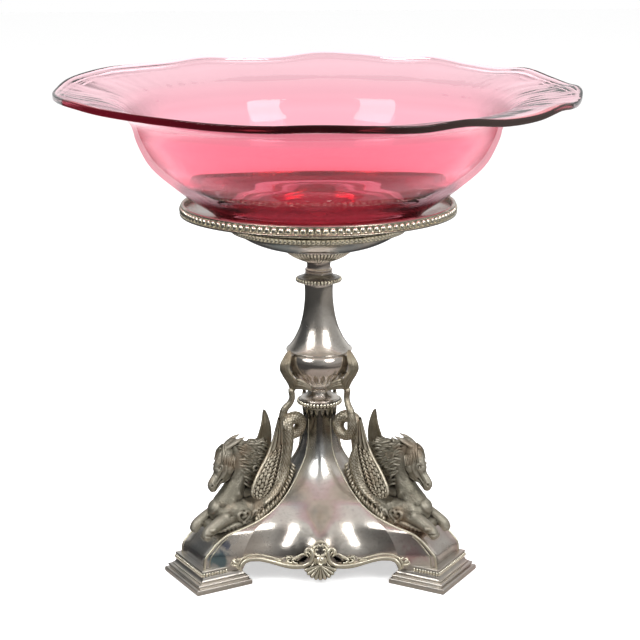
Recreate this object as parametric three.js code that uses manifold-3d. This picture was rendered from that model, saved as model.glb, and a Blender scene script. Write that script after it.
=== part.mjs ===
// Table centrepiece: a wavy-brimmed cranberry glass bowl resting in a silver plated dish,
// on a turned stem and a hollow three-legged base with a winged sea horse on each leg.
// Millimetres, +Z up, origin on the axis at the surface that the feet stand on.

import * as THREE from 'three';
import { mergeVertices } from 'three/addons/utils/BufferGeometryUtils.js';
import Module from 'manifold-3d';

const wasm = await Module();
wasm.setup();

// Clearances
const FIT = 0.3;
const ROD_FIT = 0.4;
const WELD = 0.0001;

// Foot plinths
const PLINTH_REACH = 92.7;
const PLINTH_LENGTH = 35;
const PLINTH_HALF = 21.8;
const PLINTH_HEIGHT = 12.5;

// Hollow base: three legs that flow up into one column
const LEG_REACH = 84.5;
const LEG_HALF = 14.6;
const APRON_DISTANCE = 47;
const APRON_BOTTOM = 7;
const COLUMN_TOP = 93.5;
const COLUMN_RADIUS = 8.7;
const COLUMN_HALF = 2.3;
const BASE_WALL = 2;
const COLUMN_CROWN = 6;
const RIB_WIDTH = 1.5;
const RIB_HEIGHT = 0.9;
const ARCH_SPAN = 43.2;
const ARCH_HEIGHT = 14;
const CARTOUCHE_HALF = 12.4;

// Apron shells
const SHELL_BOTTOM = 3;
const SHELL_TOP = 27;
const SHELL_THICKNESS = 3.4;
const SHELL_LEAN = 7;
const SHELL_RIBS = 7;

// Tie rod that clamps the dish, stem and base together
const ROD_RADIUS = 3;
const ROD_HEAD_RADIUS = 7;
const ROD_HEAD_HEIGHT = 2.4;
const ROD_TAIL = 13;
const WASHER_RADIUS = 5.6;
const WASHER_THICKNESS = 1.2;
const NUT_ACROSS_FLATS = 8;
const NUT_HEIGHT = 4;

// Column cap, cup, vase stem, knop and neck, upwards from the column
const FLANGE_RADIUS = 13.4;
const FLANGE_THICKNESS = 4.2;
const CAP_NECK_RADIUS = 6.3;
const CAP_HEIGHT = 12;
const LEAF_COUNT = 14;
const LEAF_LENGTH = 6.4;
const LEAF_THICKNESS = 0.9;
const CUP_RADIUS = 19.1;
const CUP_FOOT_RADIUS = 9;
const CUP_HEIGHT = 21;
const CUP_LOBES = 20;
const CUP_LOBE_DEPTH = 0.8;
const STEM_RADIUS = 19.1;
const STEM_NECK_RADIUS = 8.1;
const STEM_HEIGHT = 40.7;
const KNOP_RADIUS = 13.4;
const KNOP_HEIGHT = 6.3;
const NECK_RADIUS = 7.2;
const NECK_HEIGHT = 6.2;
const COLLAR_RADIUS = 19.3;
const COLLAR_HEIGHT = 7.5;
const COLLAR_FLUTES = 24;
const COLLAR_FLUTE_DEPTH = 0.6;

// Dish: a deep centre and a shallow sloping plate, with a beaded moulding on each edge
const DISH_RADIUS = 76;
const WELL_RADIUS = 49;
const DISH_WALL = 1.8;
const WELL_DEPTH = 16;
const PLATE_RISE = 7.5;
const RIM_BEAD_WIDTH = 3.1;
const RIM_BEAD_HEIGHT = 6;
const PAN_BEAD_WIDTH = 2.1;
const PAN_BEAD_HEIGHT = 3.2;

// Glass bowl
const BOWL_SEAT_RADIUS = 53;
const BOWL_WALL_RADIUS = 104;
const BOWL_WALL_HEIGHT = 54;
const BRIM_RADIUS = 147;
const BRIM_RISE = 20.5;
const GLASS_WALL = 3.2;
const FLOOR_THICKNESS = 5;
const KICK_HEIGHT = 3.4;
const BRIM_TILT = 4.6;
const WAVE_COUNT = 12;
const WAVE_HEIGHT = 1.5;

// Sea horse on each leg, measured from its perch on the ridge of the leg
const PERCH_REACH = 60;
const TORSO_HALF = 11.4;
const NECK_HALF = 5.6;
const HEAD_HALF = 5;
const FORELEG_SPREAD = 8.4;
const SCREW_RADIUS = 1.6;
const SCREW_HEAD_RADIUS = 3;
const SCREW_HEAD_HEIGHT = 1.8;
const SCREW_LENGTH = 12;

// Wings and scaled tail
const WING_TIP_OFFSET = 8;
const WING_THICKNESS = 2.4;
const TAIL_RADIUS = 3.1;
const LOOP_RADIUS = 5.9;
const LOOP_REACH = 18.2;
const LOOP_SHIFT = 3.1;
const LOOP_DROP = 10.7;
const FIN_THICKNESS = 1.8;

// Face counts
const BOWL_SEGMENTS = 48;
const DISH_SEGMENTS = 32;
const TURNED_SEGMENTS = 20;
const TAIL_SIDES = 7;

// Heights that follow from the stack
const CAP_TOP = COLUMN_TOP + CAP_HEIGHT;
const CUP_TOP = CAP_TOP + CUP_HEIGHT;
const STEM_TOP = CUP_TOP + STEM_HEIGHT;
const KNOP_TOP = STEM_TOP + KNOP_HEIGHT;
const NECK_TOP = KNOP_TOP + NECK_HEIGHT;
const COLLAR_TOP = NECK_TOP + COLLAR_HEIGHT;
const DISH_FLOOR = COLLAR_TOP + DISH_WALL;
const PLATE_INNER = COLLAR_TOP + WELL_DEPTH;
const ROD_BORE = ROD_RADIUS + ROD_FIT;

const LEGS = [
  { name: 'left', azimuth: 210 },
  { name: 'right', azimuth: 330 },
  { name: 'rear', azimuth: 90 },
];
const SECTOR = Math.PI / LEGS.length;

const polished = new THREE.MeshStandardMaterial({ color: 0xa39c92, roughness: 0.22, metalness: 1 });
const cast = new THREE.MeshStandardMaterial({ color: 0x8b887a, roughness: 0.48, metalness: 1 });
const beaded = new THREE.MeshStandardMaterial({ color: 0xb0a68e, roughness: 0.32, metalness: 1 });
const steel = new THREE.MeshStandardMaterial({ color: 0x77756f, roughness: 0.5, metalness: 1 });
const glass = new THREE.MeshStandardMaterial({
  color: 0xb8264e, roughness: 0.04, metalness: 0, transparent: true, opacity: 0.6,
});

const centrepiece = new THREE.Group();
const point = (x, y, z) => new THREE.Vector3(x, y, z);

// Closed solids and booleans

function signedVolume(positions, index) {
  let total = 0;
  const corners = [new THREE.Vector3(), new THREE.Vector3(), new THREE.Vector3()];
  for (let i = 0; i < index.length; i += 3) {
    corners.forEach((corner, k) => corner.fromArray(positions, index[i + k] * 3));
    total += corners[0].dot(corners[1].clone().cross(corners[2])) / 6;
  }
  return total;
}

function solidOf(geometry) {
  const bare = geometry.clone();
  bare.deleteAttribute('normal');
  bare.deleteAttribute('uv');
  const merged = mergeVertices(bare, WELD);
  const positions = new Float32Array(merged.attributes.position.array);
  const source = merged.index.array;
  const index = [];
  for (let i = 0; i < source.length; i += 3) {
    const [a, b, c] = [source[i], source[i + 1], source[i + 2]];
    if (a !== b && b !== c && c !== a) index.push(a, b, c);
  }
  if (signedVolume(positions, index) < 0) index.reverse();
  const triangles = new Uint32Array(index);
  return new wasm.Manifold(new wasm.Mesh({ numProp: 3, vertProperties: positions, triVerts: triangles }));
}

function geometryOf(solid) {
  const mesh = solid.getMesh();
  const geometry = new THREE.BufferGeometry();
  const positions = new Float32Array(mesh.vertProperties);
  geometry.setAttribute('position', new THREE.BufferAttribute(positions, 3));
  geometry.setIndex(new THREE.BufferAttribute(new Uint32Array(mesh.triVerts), 1));
  geometry.computeVertexNormals();
  return geometry;
}

function joined(solids) {
  return solids.reduce((whole, next) => whole.add(next));
}

function addPiece(name, solid, material, azimuth = 0) {
  const mesh = new THREE.Mesh(geometryOf(solid), material.clone());
  mesh.name = name;
  mesh.rotation.z = THREE.MathUtils.degToRad(azimuth);
  centrepiece.add(mesh);
}

// The faces that close one end of a loft: a fan for a round ring, a strip for a flat one
function endFaces(start, count, hub, flat) {
  const faces = [];
  for (let i = 0; i < count; i += 1) {
    if (!flat) faces.push([hub, start + ((i + 1) % count), start + i]);
    else if (i < count / 2 - 1) {
      const across = start + count - 1 - i;
      faces.push([start + i, across, start + i + 1], [start + i + 1, across, across - 1]);
    }
  }
  return faces;
}

// A body made of rings with the same number of points, closed at each end
function loft(rings, flat = false) {
  const count = rings[0].length;
  const positions = rings.flat().flatMap((p) => [p.x, p.y, p.z]);
  const faces = [];
  for (let level = 0; level < rings.length - 1; level += 1) {
    for (let i = 0; i < count; i += 1) {
      const a = level * count + i;
      const b = level * count + ((i + 1) % count);
      faces.push(a, b, b + count, a, b + count, a + count);
    }
  }
  for (const level of [0, rings.length - 1]) {
    const centre = new THREE.Vector3();
    rings[level].forEach((p) => centre.addScaledVector(p, 1 / count));
    const hub = positions.length / 3;
    if (!flat) positions.push(centre.x, centre.y, centre.z);
    const closing = endFaces(level * count, count, hub, flat);
    closing.forEach((face) => faces.push(...(level === 0 ? face : face.reverse())));
  }
  const geometry = new THREE.BufferGeometry();
  geometry.setAttribute('position', new THREE.Float32BufferAttribute(positions, 3));
  geometry.setIndex(faces);
  return solidOf(geometry);
}

// A turned piece: the profile is a closed run of radius and height pairs
function turned(profile, segments = TURNED_SEGMENTS) {
  const points = profile.map(([radius, height]) => new THREE.Vector2(radius, height));
  if (profile[0][0] > 0) points.push(points[0].clone());
  const geometry = new THREE.LatheGeometry(points, segments);
  geometry.rotateX(Math.PI / 2);
  return solidOf(geometry);
}

// A turned piece whose radius and height may vary with the angle
function shaped(profile, segments, vary) {
  const rings = profile.map(([radius, height], row) => {
    const ring = [];
    for (let i = 0; i < segments; i += 1) {
      const angle = (i / segments) * 2 * Math.PI;
      const [r, z] = vary(radius, height, angle, row, i);
      ring.push(point(r * Math.cos(angle), r * Math.sin(angle), z));
    }
    return ring;
  });
  return rings;
}

// Rings that close on themselves, as a wave-edged or fluted ring does
function ringLoft(rings) {
  const count = rings[0].length;
  const positions = rings.flat().flatMap((p) => [p.x, p.y, p.z]);
  const faces = [];
  rings.forEach((ring, level) => {
    const next = (level + 1) % rings.length;
    for (let i = 0; i < count; i += 1) {
      const j = (i + 1) % count;
      const [a, b] = [level * count + i, level * count + j];
      const [c, d] = [next * count + j, next * count + i];
      faces.push(a, b, c, a, c, d);
    }
  });
  const geometry = new THREE.BufferGeometry();
  geometry.setAttribute('position', new THREE.Float32BufferAttribute(positions, 3));
  geometry.setIndex(faces);
  return solidOf(geometry);
}

// A limb along a path in the plane of a leg: each station gives its reach, side shift
// and height, then its half width sideways and its half depth across the path
function limb(stations, sides = 8) {
  const centres = stations.map(([x, y, z]) => point(x, y, z));
  const rings = stations.map(([, , , half, depth], i) => {
    const before = centres[Math.max(i - 1, 0)];
    const after = centres[Math.min(i + 1, centres.length - 1)];
    const along = after.clone().sub(before).normalize();
    const side = point(0, 1, 0).addScaledVector(along, -along.y).normalize();
    const across = side.clone().cross(along);
    const ring = [];
    for (let k = 0; k < sides; k += 1) {
      const angle = (k / sides) * 2 * Math.PI;
      ring.push(centres[i].clone()
        .addScaledVector(side, half * Math.cos(angle))
        .addScaledVector(across, depth * Math.sin(angle)));
    }
    return ring;
  });
  return loft(rings);
}

function cylinder(radius, bottom, top, x = 0, sides = 12) {
  const geometry = new THREE.CylinderGeometry(radius, radius, top - bottom, sides);
  geometry.rotateX(Math.PI / 2);
  geometry.translate(x, 0, (top + bottom) / 2);
  return solidOf(geometry);
}

// Hollow base

// Stations up the base, each as shares: of the height from plinth to column top, of the
// ridge's reach from column to leg end, of the half width, and of the apron's distance
const BASE_STATIONS = [
  [-0.068, 1.0, 1.0, 1.0],
  [0.0, 1.0, 1.0, 1.005],
  [0.07, 0.99, 1.0, 1.0],
  [0.117, 0.945, 1.0, 0.98],
  [0.157, 0.9, 1.0, 0.95],
  [0.187, 0.855, 1.0, 0.92],
  [0.215, 0.79, 1.0, 0.87],
  [0.235, 0.68, 0.98, 0.81],
  [0.262, 0.55, 0.93, 0.71],
  [0.303, 0.43, 0.865, 0.58],
  [0.362, 0.325, 0.76, 0.435],
  [0.435, 0.235, 0.63, 0.31],
  [0.53, 0.145, 0.46, 0.18],
  [0.645, 0.06, 0.27, 0.065],
  [0.77, 0.018, 0.12, 0.0],
  [1.0, 0.0, 0.0, 0.0],
];
const VALLEY_TOP = COLUMN_RADIUS - 0.4;

function baseStation(share) {
  const last = BASE_STATIONS.length - 1;
  const slot = Math.min(Math.floor(share * last), last - 1);
  const blend = share * last - slot;
  const mix = (k) => THREE.MathUtils.lerp(BASE_STATIONS[slot][k], BASE_STATIONS[slot + 1][k], blend);
  const columnRise = COLUMN_TOP - PLINTH_HEIGHT;
  const low = PLINTH_HEIGHT + mix(0) * columnRise;
  return {
    height: share === 0 ? APRON_BOTTOM : low,
    ridge: COLUMN_RADIUS + mix(1) * (LEG_REACH - COLUMN_RADIUS),
    half: COLUMN_HALF + mix(2) * (LEG_HALF - COLUMN_HALF),
    valley: VALLEY_TOP + mix(3) * (APRON_DISTANCE - VALLEY_TOP),
  };
}

// One level of the base: for each leg a ribbed end band, then a hollow side to the next leg
function baseRing(station, grow, sideShares, ribbed) {
  const ridge = station.ridge + grow;
  const half = station.half + grow;
  const valley = station.valley + grow;
  const cornerOut = ridge * Math.cos(SECTOR) + half * Math.sin(SECTOR);
  const cornerAlong = ridge * Math.sin(SECTOR) - half * Math.cos(SECTOR);
  const side = (share, sign) => {
    const out = valley + (cornerOut - valley) * share * share;
    const along = cornerAlong * share;
    const x = out * Math.cos(SECTOR) + along * Math.sin(SECTOR);
    const y = out * Math.sin(SECTOR) - along * Math.cos(SECTOR);
    return [x, sign * y];
  };
  const outline = [...sideShares].reverse().map((share) => side(share, -1));
  if (ribbed) {
    const rib = Math.min(RIB_WIDTH, half * 0.5);
    const inner = Math.max(half - rib - RIB_HEIGHT, half * 0.25);
    outline.push([ridge, -(half - rib)], [ridge - RIB_HEIGHT, -inner]);
    outline.push([ridge - RIB_HEIGHT, inner], [ridge, half - rib]);
  }
  outline.push(...sideShares.slice(0, -1).map((share) => side(share, 1)));
  const ring = [];
  LEGS.forEach((_, k) => {
    const turn = k * 2 * SECTOR;
    for (const [x, y] of outline) {
      const flat = point(x, y, station.height).applyAxisAngle(point(0, 0, 1), turn);
      ring.push(flat);
    }
  });
  return ring;
}

function baseOuter(grow) {
  const last = BASE_STATIONS.length - 1;
  const rings = [];
  for (let i = 0; i <= last; i += 1) {
    const station = baseStation(i / last);
    station.height += i === 0 ? -grow : grow;
    rings.push(baseRing(station, grow, [1, 0.8, 0.55, 0.28, 0], true));
  }
  return loft(rings);
}

function baseHollow() {
  const last = BASE_STATIONS.length - 1;
  const rings = [];
  for (let i = 0; i <= last; i += 1) {
    const station = baseStation(i / last);
    station.height -= BASE_WALL;
    station.height = Math.min(station.height, COLUMN_TOP - COLUMN_CROWN);
    rings.push(baseRing(station, -BASE_WALL, [1, 0.72, 0.4, 0], false));
  }
  return loft(rings);
}

// Opening under one side of the base, from foot to foot, either side of the shell
function archCut() {
  const shape = new THREE.Shape();
  const floor = -APRON_BOTTOM;
  shape.moveTo(CARTOUCHE_HALF, floor);
  shape.lineTo(CARTOUCHE_HALF, APRON_BOTTOM);
  shape.quadraticCurveTo(ARCH_SPAN * 0.6, APRON_BOTTOM + 1, ARCH_SPAN * 0.74, ARCH_HEIGHT - 0.6);
  shape.quadraticCurveTo(ARCH_SPAN * 0.86, ARCH_HEIGHT + 0.8, ARCH_SPAN * 0.94, ARCH_HEIGHT - 0.6);
  shape.quadraticCurveTo(ARCH_SPAN, ARCH_HEIGHT - 1.4, ARCH_SPAN, PLINTH_HEIGHT * 0.8);
  shape.lineTo(ARCH_SPAN, floor);
  shape.closePath();
  const depth = PLINTH_REACH;
  const cut = new THREE.ExtrudeGeometry(shape, { depth, bevelEnabled: false, curveSegments: 4 });
  cut.rotateX(Math.PI / 2);
  cut.rotateZ(Math.PI / 2);
  const solid = solidOf(cut);
  return solid.add(solid.mirror([0, 1, 0]));
}

function plinthSpace() {
  const length = PLINTH_REACH;
  const box = new THREE.BoxGeometry(length, PLINTH_HALF * 2, PLINTH_HEIGHT * 2);
  box.translate(PLINTH_REACH - PLINTH_LENGTH + length / 2, 0, 0);
  return solidOf(box);
}

// The station of the base whose ridge has a given reach
function ridgeAt(reach) {
  let station = baseStation(0);
  for (let share = 0; share < 1 && station.ridge > reach; share += 0.001) {
    station = baseStation(share);
  }
  return station;
}

// Distance from the axis to the corner of a ridge, at a height on the column
function columnCornerAt(height) {
  let corner = 0;
  for (let share = 1; share > 0; share -= 0.002) {
    const station = baseStation(share);
    if (station.height < height) break;
    corner = Math.hypot(station.ridge, station.half);
  }
  return corner;
}

const PERCH_HEIGHT = ridgeAt(PERCH_REACH).height - RIB_HEIGHT * 0.5;

function buildBase() {
  let shell = baseOuter(0).subtract(baseHollow());
  LEGS.forEach((_, k) => {
    const turn = (k * 360) / LEGS.length;
    const half = 180 / LEGS.length;
    shell = shell.subtract(archCut().rotate([0, 0, turn + half]));
    shell = shell.subtract(plinthSpace().rotate([0, 0, turn]));
    const hole = cylinder(SCREW_RADIUS + FIT, APRON_BOTTOM, COLUMN_TOP, PERCH_REACH);
    shell = shell.subtract(hole.rotate([0, 0, turn]));
  });
  shell = shell.subtract(cylinder(ROD_BORE, 0, COLUMN_TOP + 1));
  addPiece('base_shell', shell, polished, LEGS[0].azimuth);
}

// Foot plinths

function buildPlinths() {
  const levels = [
    [0, 0.4], [0.08, 0], [0.2, 0], [0.24, 0.8], [0.42, 1.1], [0.46, 3.1],
    [0.66, 3.5], [0.72, 2.7], [0.8, 2.4], [0.96, 2.9], [1, 3.4],
  ];
  const rings = levels.map(([share, inset]) => {
    const near = PLINTH_REACH - PLINTH_LENGTH + inset;
    const far = PLINTH_REACH - inset;
    const half = PLINTH_HALF - inset;
    const z = share * PLINTH_HEIGHT;
    return [point(near, -half, z), point(far, -half, z), point(far, half, z), point(near, half, z)];
  });
  const plinth = loft(rings);
  LEGS.forEach((leg) => addPiece(`foot_plinth_${leg.name}`, plinth, polished, leg.azimuth));
}

// Scallop shell and scrolled cartouche in front of each apron

function buildApronShells() {
  const half = CARTOUCHE_HALF;
  const middle = (SHELL_BOTTOM + SHELL_TOP) / 2;
  const fan = [];
  const edge = [];
  const steps = SHELL_RIBS * 2;
  for (let i = 0; i <= steps; i += 1) {
    const angle = Math.PI + (i / steps) * Math.PI;
    const reach = i % 2 === 0 ? 0.86 : 1;
    fan.push([half * 0.78 * reach * Math.cos(angle),
      middle + (middle - SHELL_BOTTOM) * reach * Math.sin(angle)]);
  }
  const shape = new THREE.Shape();
  shape.moveTo(fan[0][0], fan[0][1]);
  fan.slice(1).forEach(([x, y]) => shape.lineTo(x, y));
  shape.quadraticCurveTo(half * 1.1, middle + 2, half * 1.02, middle + 5);
  shape.quadraticCurveTo(half * 0.9, SHELL_TOP - 3, half * 0.42, SHELL_TOP - 3.4);
  shape.quadraticCurveTo(half * 0.3, SHELL_TOP, 0, SHELL_TOP);
  shape.quadraticCurveTo(-half * 0.3, SHELL_TOP, -half * 0.42, SHELL_TOP - 3.4);
  shape.quadraticCurveTo(-half * 0.9, SHELL_TOP - 3, -half * 1.02, middle + 5);
  shape.quadraticCurveTo(-half * 1.1, middle + 2, fan[0][0], fan[0][1]);
  const geometry = new THREE.ExtrudeGeometry(shape, {
    depth: SHELL_THICKNESS,
    bevelEnabled: true,
    bevelThickness: SHELL_THICKNESS * 0.25,
    bevelSize: 0.6,
    bevelOffset: -0.6,
    bevelSegments: 1,
    curveSegments: 2,
  });
  geometry.rotateX(Math.PI / 2);
  geometry.rotateZ(Math.PI / 2);
  geometry.translate(-SHELL_THICKNESS * 0.25, 0, -middle);
  geometry.rotateY(-THREE.MathUtils.degToRad(SHELL_LEAN));
  geometry.translate(APRON_DISTANCE, 0, middle);
  const turn = 180 / LEGS.length;
  const clear = baseOuter(FIT).rotate([0, 0, turn]);
  const shell = solidOf(geometry).subtract(clear);
  LEGS.forEach((leg) => addPiece(`apron_shell_${leg.name}`, shell, beaded, leg.azimuth + turn));
}

// Tie rod with its round head in the dish, and the washer and nut under the column crown

function buildTieRod() {
  const crown = COLUMN_TOP - COLUMN_CROWN;
  const headTop = DISH_FLOOR + ROD_HEAD_HEIGHT;
  const rod = turned([
    [0, crown - ROD_TAIL], [ROD_RADIUS, crown - ROD_TAIL], [ROD_RADIUS, DISH_FLOOR],
    [ROD_HEAD_RADIUS, DISH_FLOOR], [ROD_HEAD_RADIUS * 0.8, headTop], [0, headTop],
  ], 16);
  addPiece('tie_rod', rod, steel);
  const washer = cylinder(WASHER_RADIUS, crown - WASHER_THICKNESS, crown, 0, 20)
    .subtract(cylinder(ROD_BORE, 0, COLUMN_TOP));
  addPiece('tie_rod_washer', washer, steel);
  const nutTop = crown - WASHER_THICKNESS;
  const nut = cylinder(NUT_ACROSS_FLATS / Math.sqrt(3), nutTop - NUT_HEIGHT, nutTop, 0, 6)
    .subtract(cylinder(ROD_RADIUS + FIT, 0, COLUMN_TOP));
  addPiece('tie_rod_nut', nut, steel);
}

// Turned stack from column to dish

function buildColumnCap() {
  const flange = COLUMN_TOP + FLANGE_THICKNESS;
  const cap = turned([
    [ROD_BORE, COLUMN_TOP], [FLANGE_RADIUS - 2.4, COLUMN_TOP], [FLANGE_RADIUS - 0.8, COLUMN_TOP + 0.5],
    [FLANGE_RADIUS, COLUMN_TOP + 2.2], [FLANGE_RADIUS - 0.8, flange - 0.3],
    [FLANGE_RADIUS - 3.4, flange + 0.9], [CAP_NECK_RADIUS + 1, flange + 2.8],
    [CAP_NECK_RADIUS, CAP_TOP - 3.6], [CAP_NECK_RADIUS + 1.1, CAP_TOP - 2.8],
    [CAP_NECK_RADIUS + 1.1, CAP_TOP - 1.9], [CAP_NECK_RADIUS + 0.1, CAP_TOP - 1.4],
    [CAP_NECK_RADIUS + 0.3, CAP_TOP], [ROD_BORE, CAP_TOP],
  ]);
  addPiece('column_cap', cap, polished);
}

function buildLeafCollar() {
  const top = COLUMN_TOP;
  const inner = columnCornerAt(top - LEAF_LENGTH) + FIT;
  const profile = [
    [inner, top], [inner, top - LEAF_LENGTH],
    [inner + LEAF_THICKNESS, top - LEAF_LENGTH], [inner + LEAF_THICKNESS, top],
  ];
  const rings = shaped(profile, LEAF_COUNT * 2, (r, z, angle, row, i) => {
    const notch = row === 1 || row === 2 ? LEAF_LENGTH * 0.6 * (i % 2) : 0;
    return [r, z + notch];
  });
  addPiece('leaf_collar', ringLoft(rings), beaded);
}

// Cup outline, from its foot to the seam under the vase
function cupProfile() {
  const rise = (share) => CAP_TOP + share * CUP_HEIGHT;
  return [
    [CUP_FOOT_RADIUS, rise(0)], [CUP_FOOT_RADIUS + 2.8, rise(0.12)], [CUP_RADIUS - 3.6, rise(0.3)],
    [CUP_RADIUS - 1.6, rise(0.47)], [CUP_RADIUS - 0.1, rise(0.56)], [CUP_RADIUS, rise(0.74)],
    [CUP_RADIUS - 0.5, rise(0.9)], [CUP_RADIUS, rise(1)],
  ];
}

function cupRadiusAt(height) {
  const profile = cupProfile();
  for (let i = 0; i < profile.length - 1; i += 1) {
    const [r0, z0] = profile[i];
    const [r1, z1] = profile[i + 1];
    if (height <= z1) return THREE.MathUtils.lerp(r0, r1, Math.max(0, (height - z0) / (z1 - z0)));
  }
  return CUP_RADIUS;
}

function cupSolid() {
  const outline = cupProfile();
  const profile = [[ROD_BORE, CAP_TOP], ...outline, [ROD_BORE, CUP_TOP]];
  const rings = shaped(profile, CUP_LOBES * 2, (r, z, angle, row) => {
    const fluted = row > 1 && row < 5 ? CUP_LOBE_DEPTH : 0;
    const swell = Math.abs(Math.sin((CUP_LOBES * angle) / 2)) - 1;
    return [r + fluted * swell, z];
  });
  return ringLoft(rings);
}

function buildStem() {
  addPiece('gadrooned_cup', cupSolid(), polished);
  const rise = (share) => CUP_TOP + share * STEM_HEIGHT;
  const spread = (share) => STEM_NECK_RADIUS + share * (STEM_RADIUS - STEM_NECK_RADIUS);
  const vase = turned([
    [ROD_BORE, rise(0)], [STEM_RADIUS, rise(0)], [STEM_RADIUS, rise(0.02)], [spread(0.9), rise(0.05)],
    [spread(0.6), rise(0.165)], [spread(0.28), rise(0.345)], [spread(0.11), rise(0.53)],
    [spread(0), rise(0.83)], [spread(0.03), rise(0.96)], [spread(0.1), rise(1)], [ROD_BORE, rise(1)],
  ]);
  addPiece('stem_vase', vase, polished);
  const knop = turned([
    [ROD_BORE, STEM_TOP], [KNOP_RADIUS - 2, STEM_TOP], [KNOP_RADIUS - 0.4, STEM_TOP + 0.4],
    [KNOP_RADIUS, STEM_TOP + 1.5], [KNOP_RADIUS - 0.5, STEM_TOP + 2.5],
    [KNOP_RADIUS - 3.6, STEM_TOP + 3.3], [NECK_RADIUS + 0.9, STEM_TOP + 4.8],
    [NECK_RADIUS, KNOP_TOP], [ROD_BORE, KNOP_TOP],
  ]);
  addPiece('beaded_knop', knop, polished);
  const neck = turned([
    [ROD_BORE, KNOP_TOP], [NECK_RADIUS, KNOP_TOP], [NECK_RADIUS + 0.8, KNOP_TOP + 0.9],
    [NECK_RADIUS, KNOP_TOP + 1.8], [NECK_RADIUS, NECK_TOP], [ROD_BORE, NECK_TOP],
  ]);
  addPiece('dish_neck', neck, polished);
}

function buildFlutedCollar() {
  const rise = (share) => NECK_TOP + share * COLLAR_HEIGHT;
  const profile = [
    [ROD_BORE, rise(0)], [COLLAR_RADIUS - 9, rise(0)], [COLLAR_RADIUS - 4.2, rise(0.12)],
    [COLLAR_RADIUS, rise(0.42)], [COLLAR_RADIUS - 0.4, rise(0.8)], [COLLAR_RADIUS - 2, rise(1)],
    [ROD_BORE, rise(1)],
  ];
  const rings = shaped(profile, COLLAR_FLUTES * 2, (r, z, angle, row, i) => {
    const fluted = row > 1 && row < 5 ? COLLAR_FLUTE_DEPTH * (i % 2) : 0;
    return [r - fluted, z];
  });
  addPiece('fluted_collar', ringLoft(rings), polished);
}

// Dish with its beaded mouldings

function dishProfile() {
  const under = (share) => COLLAR_TOP + share * (WELL_DEPTH - DISH_WALL);
  const top = (share) => DISH_FLOOR + share * (WELL_DEPTH - DISH_WALL);
  const edge = PLATE_INNER + PLATE_RISE;
  return [
    [ROD_BORE, under(0)], [COLLAR_RADIUS - 1.5, under(0)], [WELL_RADIUS * 0.74, under(0.27)],
    [WELL_RADIUS * 0.93, under(0.62)], [WELL_RADIUS, under(1)], [DISH_RADIUS, edge - DISH_WALL],
    [DISH_RADIUS, edge], [WELL_RADIUS + 0.6, top(1)], [WELL_RADIUS * 0.93 - DISH_WALL, top(0.68)],
    [WELL_RADIUS * 0.72, top(0.28)], [COLLAR_RADIUS - 2.5, top(0)], [ROD_BORE, top(0)],
  ];
}

function plateTopAt(radius) {
  const share = (radius - WELL_RADIUS - 0.6) / (DISH_RADIUS - WELL_RADIUS - 0.6);
  return PLATE_INNER + share * PLATE_RISE;
}

function buildDish() {
  addPiece('dish', turned(dishProfile(), DISH_SEGMENTS), polished);
  const edge = PLATE_INNER + PLATE_RISE;
  const rimInner = DISH_RADIUS + FIT;
  const rimOuter = rimInner + RIM_BEAD_WIDTH;
  const low = edge - DISH_WALL - 0.6;
  const rim = turned([
    [rimInner, low], [rimOuter - 0.6, low], [rimOuter, low + RIM_BEAD_HEIGHT * 0.3],
    [rimOuter - 0.5, low + RIM_BEAD_HEIGHT * 0.62], [rimOuter - 1.2, low + RIM_BEAD_HEIGHT],
    [rimInner, low + RIM_BEAD_HEIGHT * 0.9],
  ], DISH_SEGMENTS);
  addPiece('rim_beading', rim, beaded);
  const seat = COLLAR_TOP + (WELL_DEPTH - DISH_WALL) - 0.2;
  const ringInner = WELL_RADIUS + FIT;
  const ringOuter = ringInner + PAN_BEAD_WIDTH;
  const panRing = turned([
    [ringInner, seat], [ringInner, seat - PAN_BEAD_HEIGHT],
    [ringOuter - 0.6, seat - PAN_BEAD_HEIGHT], [ringOuter, seat - PAN_BEAD_HEIGHT * 0.5],
    [ringOuter - 0.6, seat],
  ], DISH_SEGMENTS);
  addPiece('pan_beading', panRing, beaded);
}

// Glass bowl

function rimLift(angle) {
  const tilt = BRIM_TILT * Math.sin(angle);
  const wave = WAVE_HEIGHT * Math.cos(WAVE_COUNT * angle);
  return tilt + wave;
}

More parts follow.
